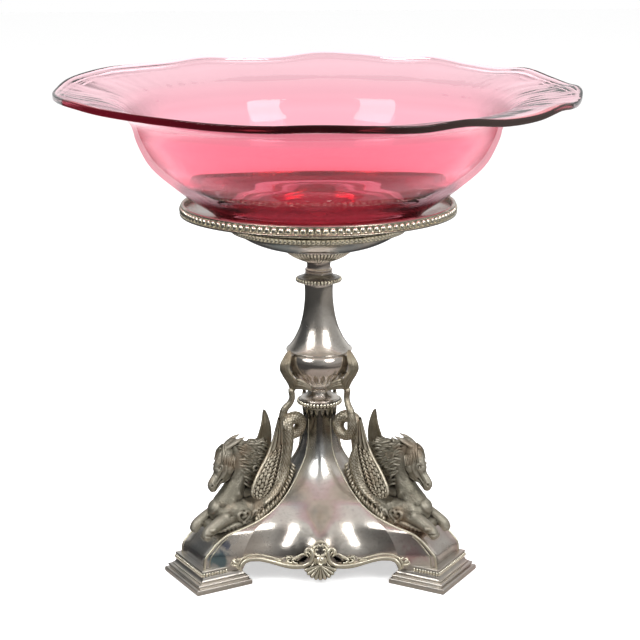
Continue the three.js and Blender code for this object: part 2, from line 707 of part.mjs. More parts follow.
function buildBowl() {
  const seat = plateTopAt(BOWL_SEAT_RADIUS) + FIT;
  const wall = (share) => seat + share * BOWL_WALL_HEIGHT;
  const spread = (share) => BOWL_SEAT_RADIUS + share * (BOWL_WALL_RADIUS - BOWL_SEAT_RADIUS);
  const brim = (share) => BOWL_WALL_RADIUS + share * (BRIM_RADIUS - BOWL_WALL_RADIUS);
  const lift = (share) => wall(1) + share * BRIM_RISE;
  const bead = GLASS_WALL * 0.5;
  const floor = seat + FLOOR_THICKNESS;
  const profile = [
    [0, seat + KICK_HEIGHT, 0], [BOWL_SEAT_RADIUS * 0.5, seat + KICK_HEIGHT * 0.75, 0],
    [BOWL_SEAT_RADIUS, seat, 0], [spread(0.19), wall(0.12), 0], [spread(0.43), wall(0.27), 0],
    [spread(0.74), wall(0.515), 0], [spread(0.905), wall(0.715), 0], [spread(0.99), wall(0.96), 0.02],
    [brim(0.06), lift(0.24), 0.1], [brim(0.26), lift(0.5), 0.35], [brim(0.62), lift(0.76), 0.7],
    [BRIM_RADIUS - bead * 0.6, lift(0.98), 1], [BRIM_RADIUS, lift(1) + bead, 1],
    [BRIM_RADIUS - bead, lift(1) + GLASS_WALL, 1],
    [brim(0.6), lift(0.76) + GLASS_WALL, 0.7], [brim(0.22), lift(0.55) + GLASS_WALL, 0.3],
    [spread(0.98) - GLASS_WALL * 0.4, wall(1) + GLASS_WALL, 0.05],
    [spread(0.905) - GLASS_WALL, wall(0.715), 0],
    [spread(0.72) - GLASS_WALL, wall(0.54), 0], [spread(0.37) - GLASS_WALL, wall(0.3), 0],
    [BOWL_SEAT_RADIUS * 0.9, floor + 0.6, 0], [BOWL_SEAT_RADIUS * 0.45, floor + KICK_HEIGHT * 0.6, 0],
    [0, floor + KICK_HEIGHT, 0],
  ];
  const lifts = profile.map(([, , share]) => share);
  const rows = profile.slice(1, -1);
  const rings = shaped(rows, BOWL_SEGMENTS, (r, z, angle, row) => {
    const share = lifts[row + 1];
    return [r, z + share * rimLift(angle)];
  });
  addPiece('glass_bowl', loft(rings), glass);
}

// Sea horses

// Stations are written from the perch: reach, side shift and height, half width, half depth
function fromPerch(stations) {
  return stations.map(([x, y, z, half, depth]) => [PERCH_REACH + x, y, PERCH_HEIGHT + z, half, depth]);
}

function torso(grow) {
  return limb(fromPerch([
    [-24, 0, 15, TORSO_HALF * 0.5 + grow, 5 + grow],
    [-16, 0, 10, TORSO_HALF * 0.8 + grow, 7.4 + grow],
    [-7, 0, 7.6, TORSO_HALF * 0.97 + grow, 8.8 + grow],
    [1, 0, 8, TORSO_HALF + grow, 9.8 + grow],
    [7, 0, 10.5, TORSO_HALF * 0.93 + grow, 9.4 + grow],
    [11.4, 0, 12.6, TORSO_HALF * 0.55 + grow, 5.6 + grow],
  ]), 9);
}

function horseSolid() {
  const neck = limb(fromPerch([
    [2, 0, 12, NECK_HALF + 2.4, 9.4], [-1.5, 0, 21, NECK_HALF + 1, 7.4],
    [-5, 0, 30, NECK_HALF, 5.4], [-4.6, 0, 39, NECK_HALF - 0.8, 5], [-1.6, 0, 45.6, NECK_HALF - 1.6, 4],
  ]), 7);
  const head = limb(fromPerch([
    [-2.6, 0, 48.4, HEAD_HALF - 2, 2.6], [0.6, 0, 44.4, HEAD_HALF - 0.2, 5], [4, 0, 38.8, HEAD_HALF, 6],
    [6.8, 0, 34, HEAD_HALF - 0.8, 5], [9.4, 0, 29.4, HEAD_HALF - 1.9, 3.6],
    [11.2, 0, 25.8, HEAD_HALF - 2, 3.2], [12, 0, 24, HEAD_HALF - 3, 2.2],
  ]), 7);
  const mane = limb(fromPerch([
    [0.6, 0, 52, 2, 1.6], [-5.4, 0, 50.6, 3.8, 4.2], [-9, 0, 46, 4, 4.6], [-11.4, 0, 40.8, 4.2, 5],
    [-11.8, 0, 35.4, 4, 4.4], [-12.2, 0, 30.6, 4.2, 5], [-11.4, 0, 25.4, 3.8, 4],
    [-10.8, 0, 20.6, 3, 3],
  ]), 5);
  const parts = [torso(0), neck, head, mane];
  for (const side of [-1, 1]) {
    const shift = side * FORELEG_SPREAD;
    parts.push(limb(fromPerch([
      [3, shift * 0.7, 8.6, 4.4, 6], [10.5, shift * 0.96, 9.4, 4.3, 5.4], [15.8, shift, 7.6, 3.9, 4.6],
      [18, shift, 4, 3.3, 3.7], [17.8, shift, 0, 3, 3.1], [17.6, shift, -3, 3.6, 3.8],
      [16.6, shift, -8, 3.9, 4.1],
    ]), 6));
    parts.push(limb(fromPerch([
      [-1.4, side * 2.8, 46.6, 1.7, 1.7], [-1.2, side * 3.6, 49.6, 1.5, 1.5], [0.4, side * 3.9, 53, 0.4, 0.4],
    ]), 4));
  }
  return joined(parts);
}

// Wing from root to tip. Each row gives the leading edge and the trailing edge as reach and
// height from the perch, and the share of the way from the root's offset to the tip's. The
// lower rows have no trailing height: there the wing stands on the rib of the leg.
const WING_ROWS = [
  [-6, 12.5, -11, null, 0], [-6.6, 17.5, -19, null, 0.03], [-8.4, 24, -27.5, null, 0.1],
  [-10.6, 31.4, -33.6, null, 0.25], [-13.6, 39.4, -31.4, 37, 0.45], [-17.2, 47.4, -29.4, 45.6, 0.66],
  [-21, 54.4, -28.6, 53, 0.84], [-26.2, 61.8, -28.2, 60.6, 1],
];

function wingSolid() {
  const across = 4;
  const rings = WING_ROWS.map(([leadX, leadZ, trailX, trailZ, share]) => {
    const offset = THREE.MathUtils.lerp(TORSO_HALF + FIT, WING_TIP_OFFSET, share);
    const seat = ridgeAt(PERCH_REACH + trailX);
    const standing = trailZ === null;
    const trailOffset = standing ? seat.half - RIB_WIDTH : offset;
    const trailHeight = standing ? seat.height + FIT : PERCH_HEIGHT + trailZ;
    const front = [];
    const back = [];
    for (let k = 0; k <= across; k += 1) {
      const chord = k / across;
      const x = PERCH_REACH + THREE.MathUtils.lerp(leadX, trailX, chord);
      const z = THREE.MathUtils.lerp(PERCH_HEIGHT + leadZ, trailHeight, chord);
      const inner = THREE.MathUtils.lerp(offset, trailOffset, chord) + 1.2 * Math.sin(Math.PI * chord);
      const ridge = k % 2 === 0 ? 0.6 : 0;
      const taper = THREE.MathUtils.lerp(1, 0.5, chord) * THREE.MathUtils.lerp(1, 0.6, share);
      front.push(point(x, inner + (WING_THICKNESS + ridge) * taper, z));
      back.unshift(point(x, inner, z));
    }
    return [...front, ...back];
  });
  return loft(rings, true);
}

// Scaled tail: up from the rump, once round in a loop, and up to the fin on the cup
function tailSolid() {
  const loopHeight = COLUMN_TOP - LOOP_DROP;
  const stations = [
    ...fromPerch([[-23.4, 0, 14.6, 5, 4.6], [-28, 0, 19.5, 4.8, 4.6], [-33, 1, 27.6, 4, 4]]),
    [LOOP_REACH + LOOP_RADIUS + 1.6, LOOP_SHIFT * 0.9, PERCH_HEIGHT + 36, 3.4, 3.4],
  ];
  const turns = 12;
  for (let i = 0; i <= turns; i += 1) {
    const angle = -0.45 + (i / turns) * (2 * Math.PI + 0.62);
    const shift = LOOP_SHIFT * (1 - (2 * i) / turns);
    const thin = TAIL_RADIUS - 0.5 * (i / turns);
    stations.push([
      LOOP_REACH + LOOP_RADIUS * Math.cos(angle), shift,
      loopHeight + LOOP_RADIUS * Math.sin(angle), thin, thin,
    ]);
  }
  stations.push(
    [LOOP_REACH + 4.2, -LOOP_SHIFT * 0.8, COLUMN_TOP - 1.4, 2.1, 2.1],
    [LOOP_REACH + 1.4, -LOOP_SHIFT * 0.3, COLUMN_TOP + 2.8, 1.8, 1.8],
    [LOOP_REACH + 0.2, 0, CAP_TOP - 5.6, 1.7, 1.7],
    [LOOP_REACH + 0.6, 0, CAP_TOP - 1.4, 1.8, 1.8],
  );
  return limb(stations, TAIL_SIDES);
}

// Fin at the tail's end: an upright lobe against the cup and a lobe to each side under it
function finSolid() {
  const rise = (share) => CAP_TOP + share * CUP_HEIGHT;
  const rows = [
    [-0.05, 0.09, 1.2], [0.06, 0.16, 1.4], [0.22, 0.3, 1.5], [0.38, 0.26, 1.3],
    [0.56, 0.3, 1.2], [0.74, 0.26, 1], [0.94, 0.15, 0.8], [1.05, 0.03, 0.5],
  ];
  const rings = rows.map(([share, spread, thick]) => {
    const z = rise(share);
    const inner = Math.max(cupRadiusAt(z) + FIT, LOOP_REACH - 0.8 + Math.min(share, 0.3));
    const outer = inner + FIN_THICKNESS * thick;
    const ring = [];
    for (const step of [-1, -0.5, 0, 0.5, 1]) {
      const angle = step * spread;
      const belly = outer - Math.abs(step) * 0.6 * thick;
      ring.push(point(belly * Math.cos(angle), belly * Math.sin(angle), z));
    }
    for (const step of [1, 0.5, 0, -0.5, -1]) {
      const angle = step * spread;
      ring.push(point(inner * Math.cos(angle), inner * Math.sin(angle), z));
    }
    return ring;
  });
  const lobes = [];
  for (const side of [-1, 1]) {
    lobes.push(limb([
      [LOOP_REACH + 0.4, side * 0.6, CAP_TOP + 0.6, 1, 1.8], [LOOP_REACH - 1, side * 4, CAP_TOP + 4, 1.2, 3],
      [LOOP_REACH - 3.8, side * 7.6, CAP_TOP + 3.6, 1.2, 2.8],
      [LOOP_REACH - 8.4, side * 8.2, CAP_TOP - 0.4, 0.6, 0.8],
    ], 6));
  }
  const [foot, ...walls] = cupProfile();
  const clearance = turned([
    [0, CAP_TOP], [foot[0] + FIT, CAP_TOP], ...walls.map(([r, z]) => [r + FIT, z]), [0, CUP_TOP],
  ], CUP_LOBES).rotate([0, 0, 90 / CUP_LOBES]);
  return loft(rings, true).add(joined(lobes).subtract(clearance));
}

function buildHorses() {
  const clearBase = baseOuter(FIT);
  const screwTop = PERCH_HEIGHT + SCREW_LENGTH - 4;
  const socket = cylinder(SCREW_RADIUS + FIT, 0, screwTop + 1, PERCH_REACH);
  const horse = horseSolid().subtract(clearBase).subtract(socket);
  const clearTorso = torso(FIT);
  const tail = tailSolid().subtract(clearTorso).subtract(clearBase);
  const fin = finSolid().subtract(tailTip());
  const wing = wingSolid();
  const twin = wing.mirror([0, 1, 0]);
  for (const leg of LEGS) {
    addPiece(`sea_horse_${leg.name}`, horse, cast, leg.azimuth);
    addPiece(`wing_${leg.name}_a`, wing, cast, leg.azimuth);
    addPiece(`wing_${leg.name}_b`, twin, cast, leg.azimuth);
    addPiece(`tail_${leg.name}`, tail, cast, leg.azimuth);
    addPiece(`tail_fin_${leg.name}`, fin, cast, leg.azimuth);
  }
}

// Space kept round the end of the tail, where the fin is pinned on
function tailTip() {
  return cylinder(2.2 + FIT, CAP_TOP - 7, CAP_TOP - 1.1, LOOP_REACH + 0.5, 10);
}

function buildHorseScrews() {
  const shankTop = PERCH_HEIGHT + SCREW_LENGTH - 4;
  const headTop = PERCH_HEIGHT - BASE_WALL - 1.2;
  const screw = turned([
    [0, headTop - SCREW_HEAD_HEIGHT], [SCREW_HEAD_RADIUS, headTop - SCREW_HEAD_HEIGHT],
    [SCREW_HEAD_RADIUS, headTop], [SCREW_RADIUS, headTop], [SCREW_RADIUS, shankTop], [0, shankTop],
  ], 10).translate([PERCH_REACH, 0, 0]);
  LEGS.forEach((leg) => addPiece(`sea_horse_screw_${leg.name}`, screw, steel, leg.azimuth));
}

buildBase();
buildPlinths();
buildApronShells();
buildTieRod();
buildColumnCap();
buildLeafCollar();
buildStem();
buildFlutedCollar();
buildDish();
buildBowl();
buildHorses();
buildHorseScrews();

export default centrepiece;
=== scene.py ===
# A cranberry glass bowl on a silver plated stand: three stepped feet, a hollow base with a
# winged sea horse on each leg, a turned stem and a beaded dish that the bowl rests in.
import math

import bmesh
import bpy
import numpy as np
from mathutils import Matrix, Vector, noise


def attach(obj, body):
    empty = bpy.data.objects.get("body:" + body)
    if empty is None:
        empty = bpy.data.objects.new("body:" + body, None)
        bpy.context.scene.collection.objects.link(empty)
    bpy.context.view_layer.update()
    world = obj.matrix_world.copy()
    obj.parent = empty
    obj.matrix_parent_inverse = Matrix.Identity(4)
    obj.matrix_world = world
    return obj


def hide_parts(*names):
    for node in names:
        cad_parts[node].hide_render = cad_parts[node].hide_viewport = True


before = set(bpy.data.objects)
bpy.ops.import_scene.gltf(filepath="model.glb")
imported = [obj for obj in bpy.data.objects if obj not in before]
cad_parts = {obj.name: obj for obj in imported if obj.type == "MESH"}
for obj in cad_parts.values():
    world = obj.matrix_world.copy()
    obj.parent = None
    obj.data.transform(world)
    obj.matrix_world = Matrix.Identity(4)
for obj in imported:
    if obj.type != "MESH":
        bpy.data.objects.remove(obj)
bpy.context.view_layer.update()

# Camera: a long lens a little above the brim of the bowl, which looks down on the stand by
# 14 degrees from straight in front.
lens = bpy.data.cameras.new("camera")
lens.lens = 90
lens.sensor_width = 36
camera = bpy.data.objects.new("camera", lens)
camera.location = (0.0006, -0.902, 0.369)
camera.rotation_euler = (math.radians(76), 0, 0)
camera.rotation_euler.rotate_axis("Z", math.radians(-0.34))
bpy.context.scene.collection.objects.link(camera)
bpy.context.scene.camera = camera
bpy.context.scene.view_settings.view_transform = "Standard"


# Studio: a pale floor and a room with a white end behind the stand, a dim end behind the
# camera and two window-shaped lamps. The silver shows all of it, the glass only white.
class Socket:
    """One output of a node, so that the maths of a finish reads as sums."""

    def __init__(self, shading, link):
        self.shading = shading
        self.link = link

    def maths(self, operation, *values, clamp=False):
        settings = {"operation": operation, "use_clamp": clamp}
        return self.shading.node("Math", settings, dict(enumerate(values)))

    def __add__(self, other):
        return self.maths("ADD", self, other)

    def __sub__(self, other):
        return self.maths("SUBTRACT", self, other)

    def __rsub__(self, other):
        return self.maths("SUBTRACT", other, self)

    def __mul__(self, other):
        return self.maths("MULTIPLY", self, other)

    def __truediv__(self, other):
        return self.maths("DIVIDE", self, other)

    def __rtruediv__(self, other):
        return self.maths("DIVIDE", other, self)

    def __pow__(self, other):
        return self.maths("POWER", self, other)

    __radd__ = __add__
    __rmul__ = __mul__

    def between(self, low, high):
        """0 below low, 1 above high, and smooth in between."""
        settings = {"interpolation_type": "SMOOTHSTEP"}
        return self.shading.node("MapRange", settings, {0: self, 1: low, 2: high, 3: 0.0, 4: 1.0})

    def toward(self, goal, share):
        """This value, moved to the goal by a share of the way."""
        return self + share * (goal - self)


class Shading:
    """The node tree of a material or of the world."""

    def __init__(self, owner):
        owner.use_nodes = True
        self.tree = owner.node_tree
        self.tree.nodes.clear()

    def node(self, kind, settings=None, sockets=None, output=0):
        made = self.tree.nodes.new("ShaderNode" + kind)
        for name, value in (settings or {}).items():
            if name == "stops":
                elements = made.color_ramp.elements
                while len(elements) < len(value):
                    elements.new(0.5)
                for element, (place, colour) in zip(elements, value):
                    element.position = place
                    element.color = (*colour, 1)
            else:
                setattr(made, name, value)
        for name, value in (sockets or {}).items():
            if isinstance(value, Socket):
                self.tree.links.new(value.link, made.inputs[name])
            else:
                made.inputs[name].default_value = value
        return Socket(self, made.outputs[output]) if made.outputs else None

    def mix(self, factor, first, second):
        first = first if isinstance(first, Socket) else (*first, 1)
        second = second if isinstance(second, Socket) else (*second, 1)
        return self.node("Mix", {"data_type": "RGBA"}, {0: factor, 6: first, 7: second}, output=2)

    def finish(self, sockets):
        """Principled shading as the whole surface."""
        self.node("OutputMaterial", sockets={"Surface": self.node("BsdfPrincipled", sockets=sockets)})

    def ray(self, kind):
        return self.node("LightPath", output=kind)

    def noise(self, vector, scale, detail=3.0, **more):
        return self.node("TexNoise", sockets={"Vector": vector, "Scale": scale, "Detail": detail, **more})

    def axes(self, vector):
        return [self.node("SeparateXYZ", sockets={0: vector}, output=k) for k in range(3)]


def off_axis(x, y):
    """Distance from the axis of the stem."""
    return (x * x + y * y) ** 0.5


DIM_END = 0.13
RIGHT_WALL = 0.42
WHITE_END = 0.5
CEILING = 0.95
SECOND_REFLECTION = 0.62
THROUGH_GLASS = 0.99
SOFT_FILL = 0.3
world = bpy.data.worlds.new("studio")
bpy.context.scene.world = world
room = Shading(world)
across, depth, height = room.axes(room.node("TexCoord", output="Generated"))
walls = DIM_END + RIGHT_WALL * across.between(-0.9, 0.9) + WHITE_END * depth.between(0.45, 0.93)
level = walls.toward(CEILING, height.between(0.50, 0.84))
level = level.toward(SECOND_REFLECTION, room.ray("Glossy Depth").between(1.2, 1.8))
level = level.toward(SECOND_REFLECTION, room.ray("Is Singular Ray"))
level = level.toward(THROUGH_GLASS, room.ray("Transmission Depth").between(0, 1))
level = level + room.ray("Is Diffuse Ray") * SOFT_FILL
brightness = level.toward(1, room.ray("Is Camera Ray"))
sky = room.node("Background", sockets={"Color": (1, 1, 1, 1), "Strength": brightness})
room.node("OutputWorld", sockets={"Surface": sky})


def add_lamp(name, place, aim, size, watts, seen=True):
    """A flat lamp turned to a point; one that isn't seen shows in no reflection and no glass."""
    lamp = bpy.data.lights.new(name, "AREA")
    lamp.shape = "RECTANGLE"
    lamp.size, lamp.size_y = size
    lamp.energy = watts
    stand = bpy.data.objects.new(name, lamp)
    stand.location = place
    stand.visible_glossy = seen
    stand.visible_transmission = seen
    stand.rotation_euler = (Vector(aim) - Vector(place)).to_track_quat("-Z", "Y").to_euler()
    bpy.context.scene.collection.objects.link(stand)


add_lamp("left window", (-0.95, -0.95, 1.15), (0, 0, 0.12), (0.68, 0.58), 13.5)
add_lamp("right window", (0.85, -1.0, 1.1), (0, 0, 0.12), (0.6, 0.56), 13.5)
add_lamp("top panel", (0.0, 0.35, 1.5), (0, 0, 0.1), (0.9, 0.5), 14, seen=False)

PALE_PAPER = (0.9, 0.9, 0.9)
PAPER_THROUGH_GLASS = (0.80, 0.80, 0.80)
PAPER_IN_SILVER = (0.36, 0.345, 0.32)
DARK_FLOOR = (0.045, 0.045, 0.045)
RIGHT_FLOOR = (0.20, 0.19, 0.18)
PAINTED_SHADOW_UNDER_BASE = (0.02, 0.018, 0.015)
floor_mesh = bpy.data.meshes.new("floor")
floor_mesh.from_pydata([(-6, -6, 0), (6, -6, 0), (6, 6, 0), (-6, 6, 0)], [], [(0, 1, 2, 3)])
floor = bpy.data.objects.new("floor", floor_mesh)
bpy.context.scene.collection.objects.link(floor)
paper = bpy.data.materials.new("pale floor")
ground = Shading(paper)
gx, gy, _ = ground.axes(ground.node("TexCoord", output="Object"))
floor_reach = off_axis(gx, gy)
away = floor_reach.between(0.12, 0.30)
away = away.maths("MAXIMUM", away, 1 - gx.between(-0.125, -0.075))
far_tone = ground.mix(gx.between(0.15, 0.6), DARK_FLOOR, RIGHT_FLOOR)
mirrored_tone = ground.mix(away, PAPER_IN_SILVER, far_tone)
again = ground.ray("Glossy Depth").between(1.2, 1.8)
through_glass = ground.ray("Transmission Depth").between(0, 1)
through_glass = through_glass.maths("MAXIMUM", through_glass, ground.ray("Is Singular Ray"))
in_metal = ground.ray("Is Glossy Ray") * (1 - through_glass) * (1 - again)
tone = ground.mix(in_metal, ground.mix(through_glass, PALE_PAPER, PAPER_THROUGH_GLASS), mirrored_tone)
# Painted shadow: the floor under the base is dark and gives no glow, so the holes in the aprons look into
# shade.
clear_of_painted_shadow = off_axis(gx, gy + 0.005).between(0.018, 0.026)
tone = ground.mix(clear_of_painted_shadow, PAINTED_SHADOW_UNDER_BASE, tone)
lit = ground.node("BsdfDiffuse", sockets={"Color": tone})
distant = floor_reach.between(0.25, 0.7)
seen = ground.ray("Is Camera Ray") * (0.55 - 0.47 * distant)
seen = seen + through_glass * (1 - seen) * (0.12 - 0.04 * distant) + again * 0.15
glow = ground.node("Emission", sockets={"Color": (1, 1, 1, 1), "Strength": seen * clear_of_painted_shadow})
ground.node("OutputMaterial", sockets={"Surface": ground.node("AddShader", sockets={0: lit, 1: glow})})
floor_mesh.materials.append(paper)


# Feet: three stepped plinths cast hollow and soldered under the ends of the legs, in silver
# plate worn to a warm grey, with a band of upright beads below the leg.
MM = 0.001
LEGS = {"left": 210, "right": 330, "rear": 90}
PLINTH_FAR = 92.7
PLINTH_NEAR = 57.7
PLINTH_HALF = 21.8
END_INSET = 1.4
PLINTH_STEPS = [
    (0.6, 0), (0.6, 0), (0.15, 0.4), (0, 1.6), (0.2, 2.9), (0.8, 3.3), (0.8, 3.3), (1.7, 3.4),
    (1.7, 3.4), (1.7, 3.9), (1.7, 3.9), (1.3, 4.2), (1.2, 4.7), (1.5, 5.2), (2.0, 5.4), (2.0, 5.4),
    (2.6, 5.5), (2.6, 5.5), (2.6, 6.0), (2.6, 6.0), (3.2, 6.3), (3.7, 7.0), (4.0, 8.0), (4.2, 8.5),
    (4.2, 8.5), (5.0, 8.6), (5.0, 8.6), (5.0, 11.3), (5.0, 11.3), (4.0, 11.4), (3.8, 11.9), (4.0, 12.4),
    (4.0, 12.4), (5.6, 12.6),
]
PLINTH_HOLLOW = [(6.5, 12.6), (6.5, 9.0), (2.0, 1.5), (2.0, 0)]
BEAD_PITCH = 1.75
BEAD_SIZE = (0.72, 1.05, 1.4)
BEAD_INSET = 3.9
BEAD_MIDDLE = 10.05
BEAD_LEAN = 0.18
BEADED_SIDE = 16


def curve(points, steps=5):
    """A smooth run through the points, with a sharp edge at a point written twice."""
    runs, run = [], [points[0]]
    for point in points[1:]:
        if point == run[-1]:
            runs.append(run)
            run = [point]
        else:
            run.append(point)
    runs.append(run)
    made = []
    for run in runs:
        p = np.array(run, float)
        if len(p) < 2:
            continue
        padded = np.vstack([2 * p[0] - p[1], p, 2 * p[-1] - p[-2]])
        for i in range(1, len(padded) - 2):
            a, b, c, d = padded[i - 1 : i + 3]
            for t in np.arange(steps if len(p) > 2 else 1) / steps:
                bent = (2 * a - 5 * b + 4 * c - d) * t**2 + (3 * b - a - 3 * c + d) * t**3
                made.append(0.5 * (2 * b + (c - a) * t + bent))
        made.append(p[-1])
    kept = [made[0]]
    for point in made[1:]:
        if np.abs(point - kept[-1]).max() > 1e-6:
            kept.append(point)
    return np.array(kept)


def grid_faces(rows, columns, wrap_rows=False, wrap_columns=True):
    """Faces between rows of points; either direction may close on itself."""
    steps_up, steps_along = np.arange(rows - (not wrap_rows)), np.arange(columns - (not wrap_columns))
    i, j = np.meshgrid(steps_up, steps_along, indexing="ij")
    up, along = (i + 1) % rows, (j + 1) % columns
    corners = [i * columns + j, i * columns + along, up * columns + along, up * columns + j]
    return np.stack([c.ravel() for c in corners], axis=1).tolist()


def turn(points, degrees):
    """Points turned about the stem's axis."""
    c, s = math.cos(math.radians(degrees)), math.sin(math.radians(degrees))
    x, y, z = np.moveaxis(np.asarray(points, float), -1, 0)
    return np.stack([c * x - s * y, s * x + c * y, z], axis=-1)


class Shape:
    """Points in millimetres, faces, and for each point how deep it lies in its relief, which some pieces
    raise or lower to paint shade and light.
    """

    def __init__(self, points=(), faces=(), depth=0.5):
        self.points = np.asarray(points, float).reshape(-1, 3)
        self.faces = [list(face) for face in faces]
        self.depth = np.clip(np.zeros(len(self.points)) + np.ravel(depth), 0, 1)

    def __add__(self, other):
        return gather([self, other])

    def turned(self, degrees):
        return Shape(turn(self.points, degrees), self.faces, self.depth)

    def mirrored(self):
        return Shape(self.points * (1, -1, 1), [face[::-1] for face in self.faces], self.depth)

    def moved(self, shift):
        return Shape(self.points + shift, self.faces, self.depth)


def gather(shapes):
    """Many bodies as one shape."""
    faces, shift = [], 0
    for shape in shapes:
        faces.extend([k + shift for k in face] for face in shape.faces)
        shift += len(shape.points)
    depth = np.concatenate([shape.depth for shape in shapes])
    return Shape(np.vstack([shape.points for shape in shapes]), faces, depth)


def normals(shape):
    """Outward directions at the points of a shape."""
    total = np.zeros_like(shape.points)
    for size in {len(face) for face in shape.faces}:
        faces = np.array([face for face in shape.faces if len(face) == size])
        corners = shape.points[faces]
        flat = np.cross(corners, np.roll(corners, -1, axis=1)).sum(axis=1)
        for k in range(size):
            for axis in range(3):
                total[:, axis] += np.bincount(faces[:, k], flat[:, axis], len(total))
    return total / np.maximum(np.linalg.norm(total, axis=1), 1e-9)[:, None]


def worn(shape, scale, rounds=6):
    """Notes the depth of each point under its neighbourhood: 1 in a groove, 0 on a crest."""
    pairs = set()
    for face in shape.faces:
        for a, b in zip(face, face[1:] + face[:1]):
            pairs.add((a, b))
            pairs.add((b, a))
    here, there = np.array(sorted(pairs)).T
    count = np.bincount(here, minlength=len(shape.points))
    soft = shape.points
    for _ in range(rounds):
        total = [np.bincount(here, soft[there, k], len(count)) for k in range(3)]
        soft = np.stack(total, axis=1) / count[:, None]
    gap = ((soft - shape.points) * normals(shape)).sum(axis=1)
    return Shape(shape.points, shape.faces, 0.5 + gap / scale / 2)


def add_piece(name, shape, finish, slot, *nodes, body="stand", sharp=38):
    """A mesh piece that rides on a body and stands for CAD nodes."""
    mesh = bpy.data.meshes.new(name)
    mesh.from_pydata((shape.points * MM).tolist(), [], shape.faces)
    mesh.validate()
    made = bmesh.new()
    made.from_mesh(mesh)
    bmesh.ops.recalc_face_normals(made, faces=made.faces)
    made.to_mesh(mesh)
    made.free()
    mesh.attributes.new("depth", "FLOAT", "POINT").data.foreach_set("value", shape.depth)
    mesh.shade_smooth()
    mesh.set_sharp_from_angle(angle=math.radians(sharp))
    mesh.materials.append(finish)
    piece = bpy.data.objects.new(name, mesh)
    bpy.context.scene.collection.objects.link(piece)
    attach(piece, body)
    if nodes:
        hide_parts(*nodes)
    return piece


def bead(centre, size, across=10, up=7, lean=(0, 0, 1), out=(1, 0, 0)):
    """A closed round or oval bead: size is its half width, half depth and half height."""
    lean, out = Vector(lean).normalized(), Vector(out).normalized()
    side = lean.cross(out).normalized()
    out = side.cross(lean)
    axes = np.array([side, out, lean])
    points = [(0, 0, -1)]
    for row in range(1, up):
        angle = math.pi * row / up
        for k in range(across):
            around = 2 * math.pi * k / across
            ring = math.sin(angle)
            points.append((ring * math.cos(around), ring * math.sin(around), -math.cos(angle)))
    points.append((0, 0, 1))
    faces = [[k + 1 for k in face] for face in grid_faces(up - 1, across)]
    last = len(points) - 1
    for k in range(across):
        faces.append([0, 1 + (k + 1) % across, 1 + k])
        faces.append([last, last - across + k, last - across + (k + 1) % across])
    points = np.array(points)
    # Painted shade: each bead is darker towards its back, where it sits against what carries it, and
    # lighter at its front.
    depth = 0.25 + 0.9 * np.clip(0.25 - points[:, 1], 0, 1)
    return Shape(points * size @ axes + np.array(centre), faces, depth)


WORN_PLATE = np.array((0.56, 0.525, 0.475))
BROWN_TARNISH = (0.36, 0.30, 0.245)
ROSE_TARNISH = (0.47, 0.34, 0.31)
BLUE_TARNISH = (0.26, 0.285, 0.30)
FINE_SPECKS = (0.22, 0.19, 0.16)
GRIME_AND_SHADE = (0.05, 0.045, 0.038)
TARNISH_WEIGHT = 0.6
RIPPLE_HEIGHT = 0.00014
FOOT_FOLD = 0.100
COLUMN_FOLD = -0.56
FOLD_EDGE = 0.73


def folds(s, place):
    """Height of the soft folds of the base: over each leg at its foot, and up the column."""
    x, y, z = s.axes(place)
    apart = x.maths("PINGPONG", x.maths("ARCTAN2", y, x) + math.pi / 2, math.pi / 3)
    apart = apart.maths("MINIMUM", apart, FOLD_EDGE)
    low = FOOT_FOLD * (1 - z.between(0.023, 0.044)) * apart.maths("COSINE", apart * 6)
    high = COLUMN_FOLD * z.between(0.040, 0.066) * (apart * apart + 0.035) ** 0.5
    return off_axis(x, y) * (low + high)


def polished_silver(name, stain=1.0, brushed=0.0, tone=1.0, stains_and_shade=(), folded=False):
    """Silver plate worn and tarnished: warm grey, with brown, rose and blue stains, given marks of stain
    and of painted shade, and painted shade with grime where a piece marks its points deep.
    """
    material = bpy.data.materials.new(name)
    s = Shading(material)
    place = s.node("TexCoord", output="Object")
    clouds = s.noise(place, 34.0, 6.0, Roughness=0.62)
    drift = s.noise(place, 19.0, Distortion=0.8)
    specks = s.noise(place, 800.0)
    deep = s.node("Attribute", {"attribute_name": "depth"}, output=2).between(0.56, 0.9)
    weight = TARNISH_WEIGHT * stain
    colour = s.mix(clouds.between(0.48, 0.72) * weight, WORN_PLATE * tone, BROWN_TARNISH)
    colour = s.mix(drift.between(0.5, 0.7) * weight, colour, ROSE_TARNISH)
    colour = s.mix((1 - drift).between(0.54, 0.70) * weight, colour, BLUE_TARNISH)
    colour = s.mix(specks.between(0.55, 0.8) * 0.5, colour, FINE_SPECKS)
    for spot, size, shade in stains_and_shade:
        away = s.node("VectorMath", {"operation": "DISTANCE"}, {0: place, 1: spot}, output=1)
        ragged = away + (clouds - 0.5) * 0.012 + (s.noise(place, 190.0) - 0.5) * 0.016
        colour = s.mix(0.85 * (1 - ragged.between(size * 0.25, size * 1.1)), colour, shade)
    # Painted shade, with grime: points that a piece marks deep, round the beads of the cap and the knop, go
    # nearly black.
    colour = s.mix(deep * 0.85, colour, GRIME_AND_SHADE)
    height = (s.noise(place, 60.0, 2.0) + specks * 0.2) * RIPPLE_HEIGHT
    if folded:
        height = height + folds(s, place)
    bump = s.node("Bump", sockets={"Strength": 1.0, "Distance": 1.0, "Height": height})
    s.finish({"Base Color": colour, "Metallic": 1.0, "Normal": bump,
              "Roughness": 0.12 + brushed + clouds.between(0.35, 0.8) * 0.16})
    return material


RUBBED_BROWN = (0.30, 0.225, 0.155)


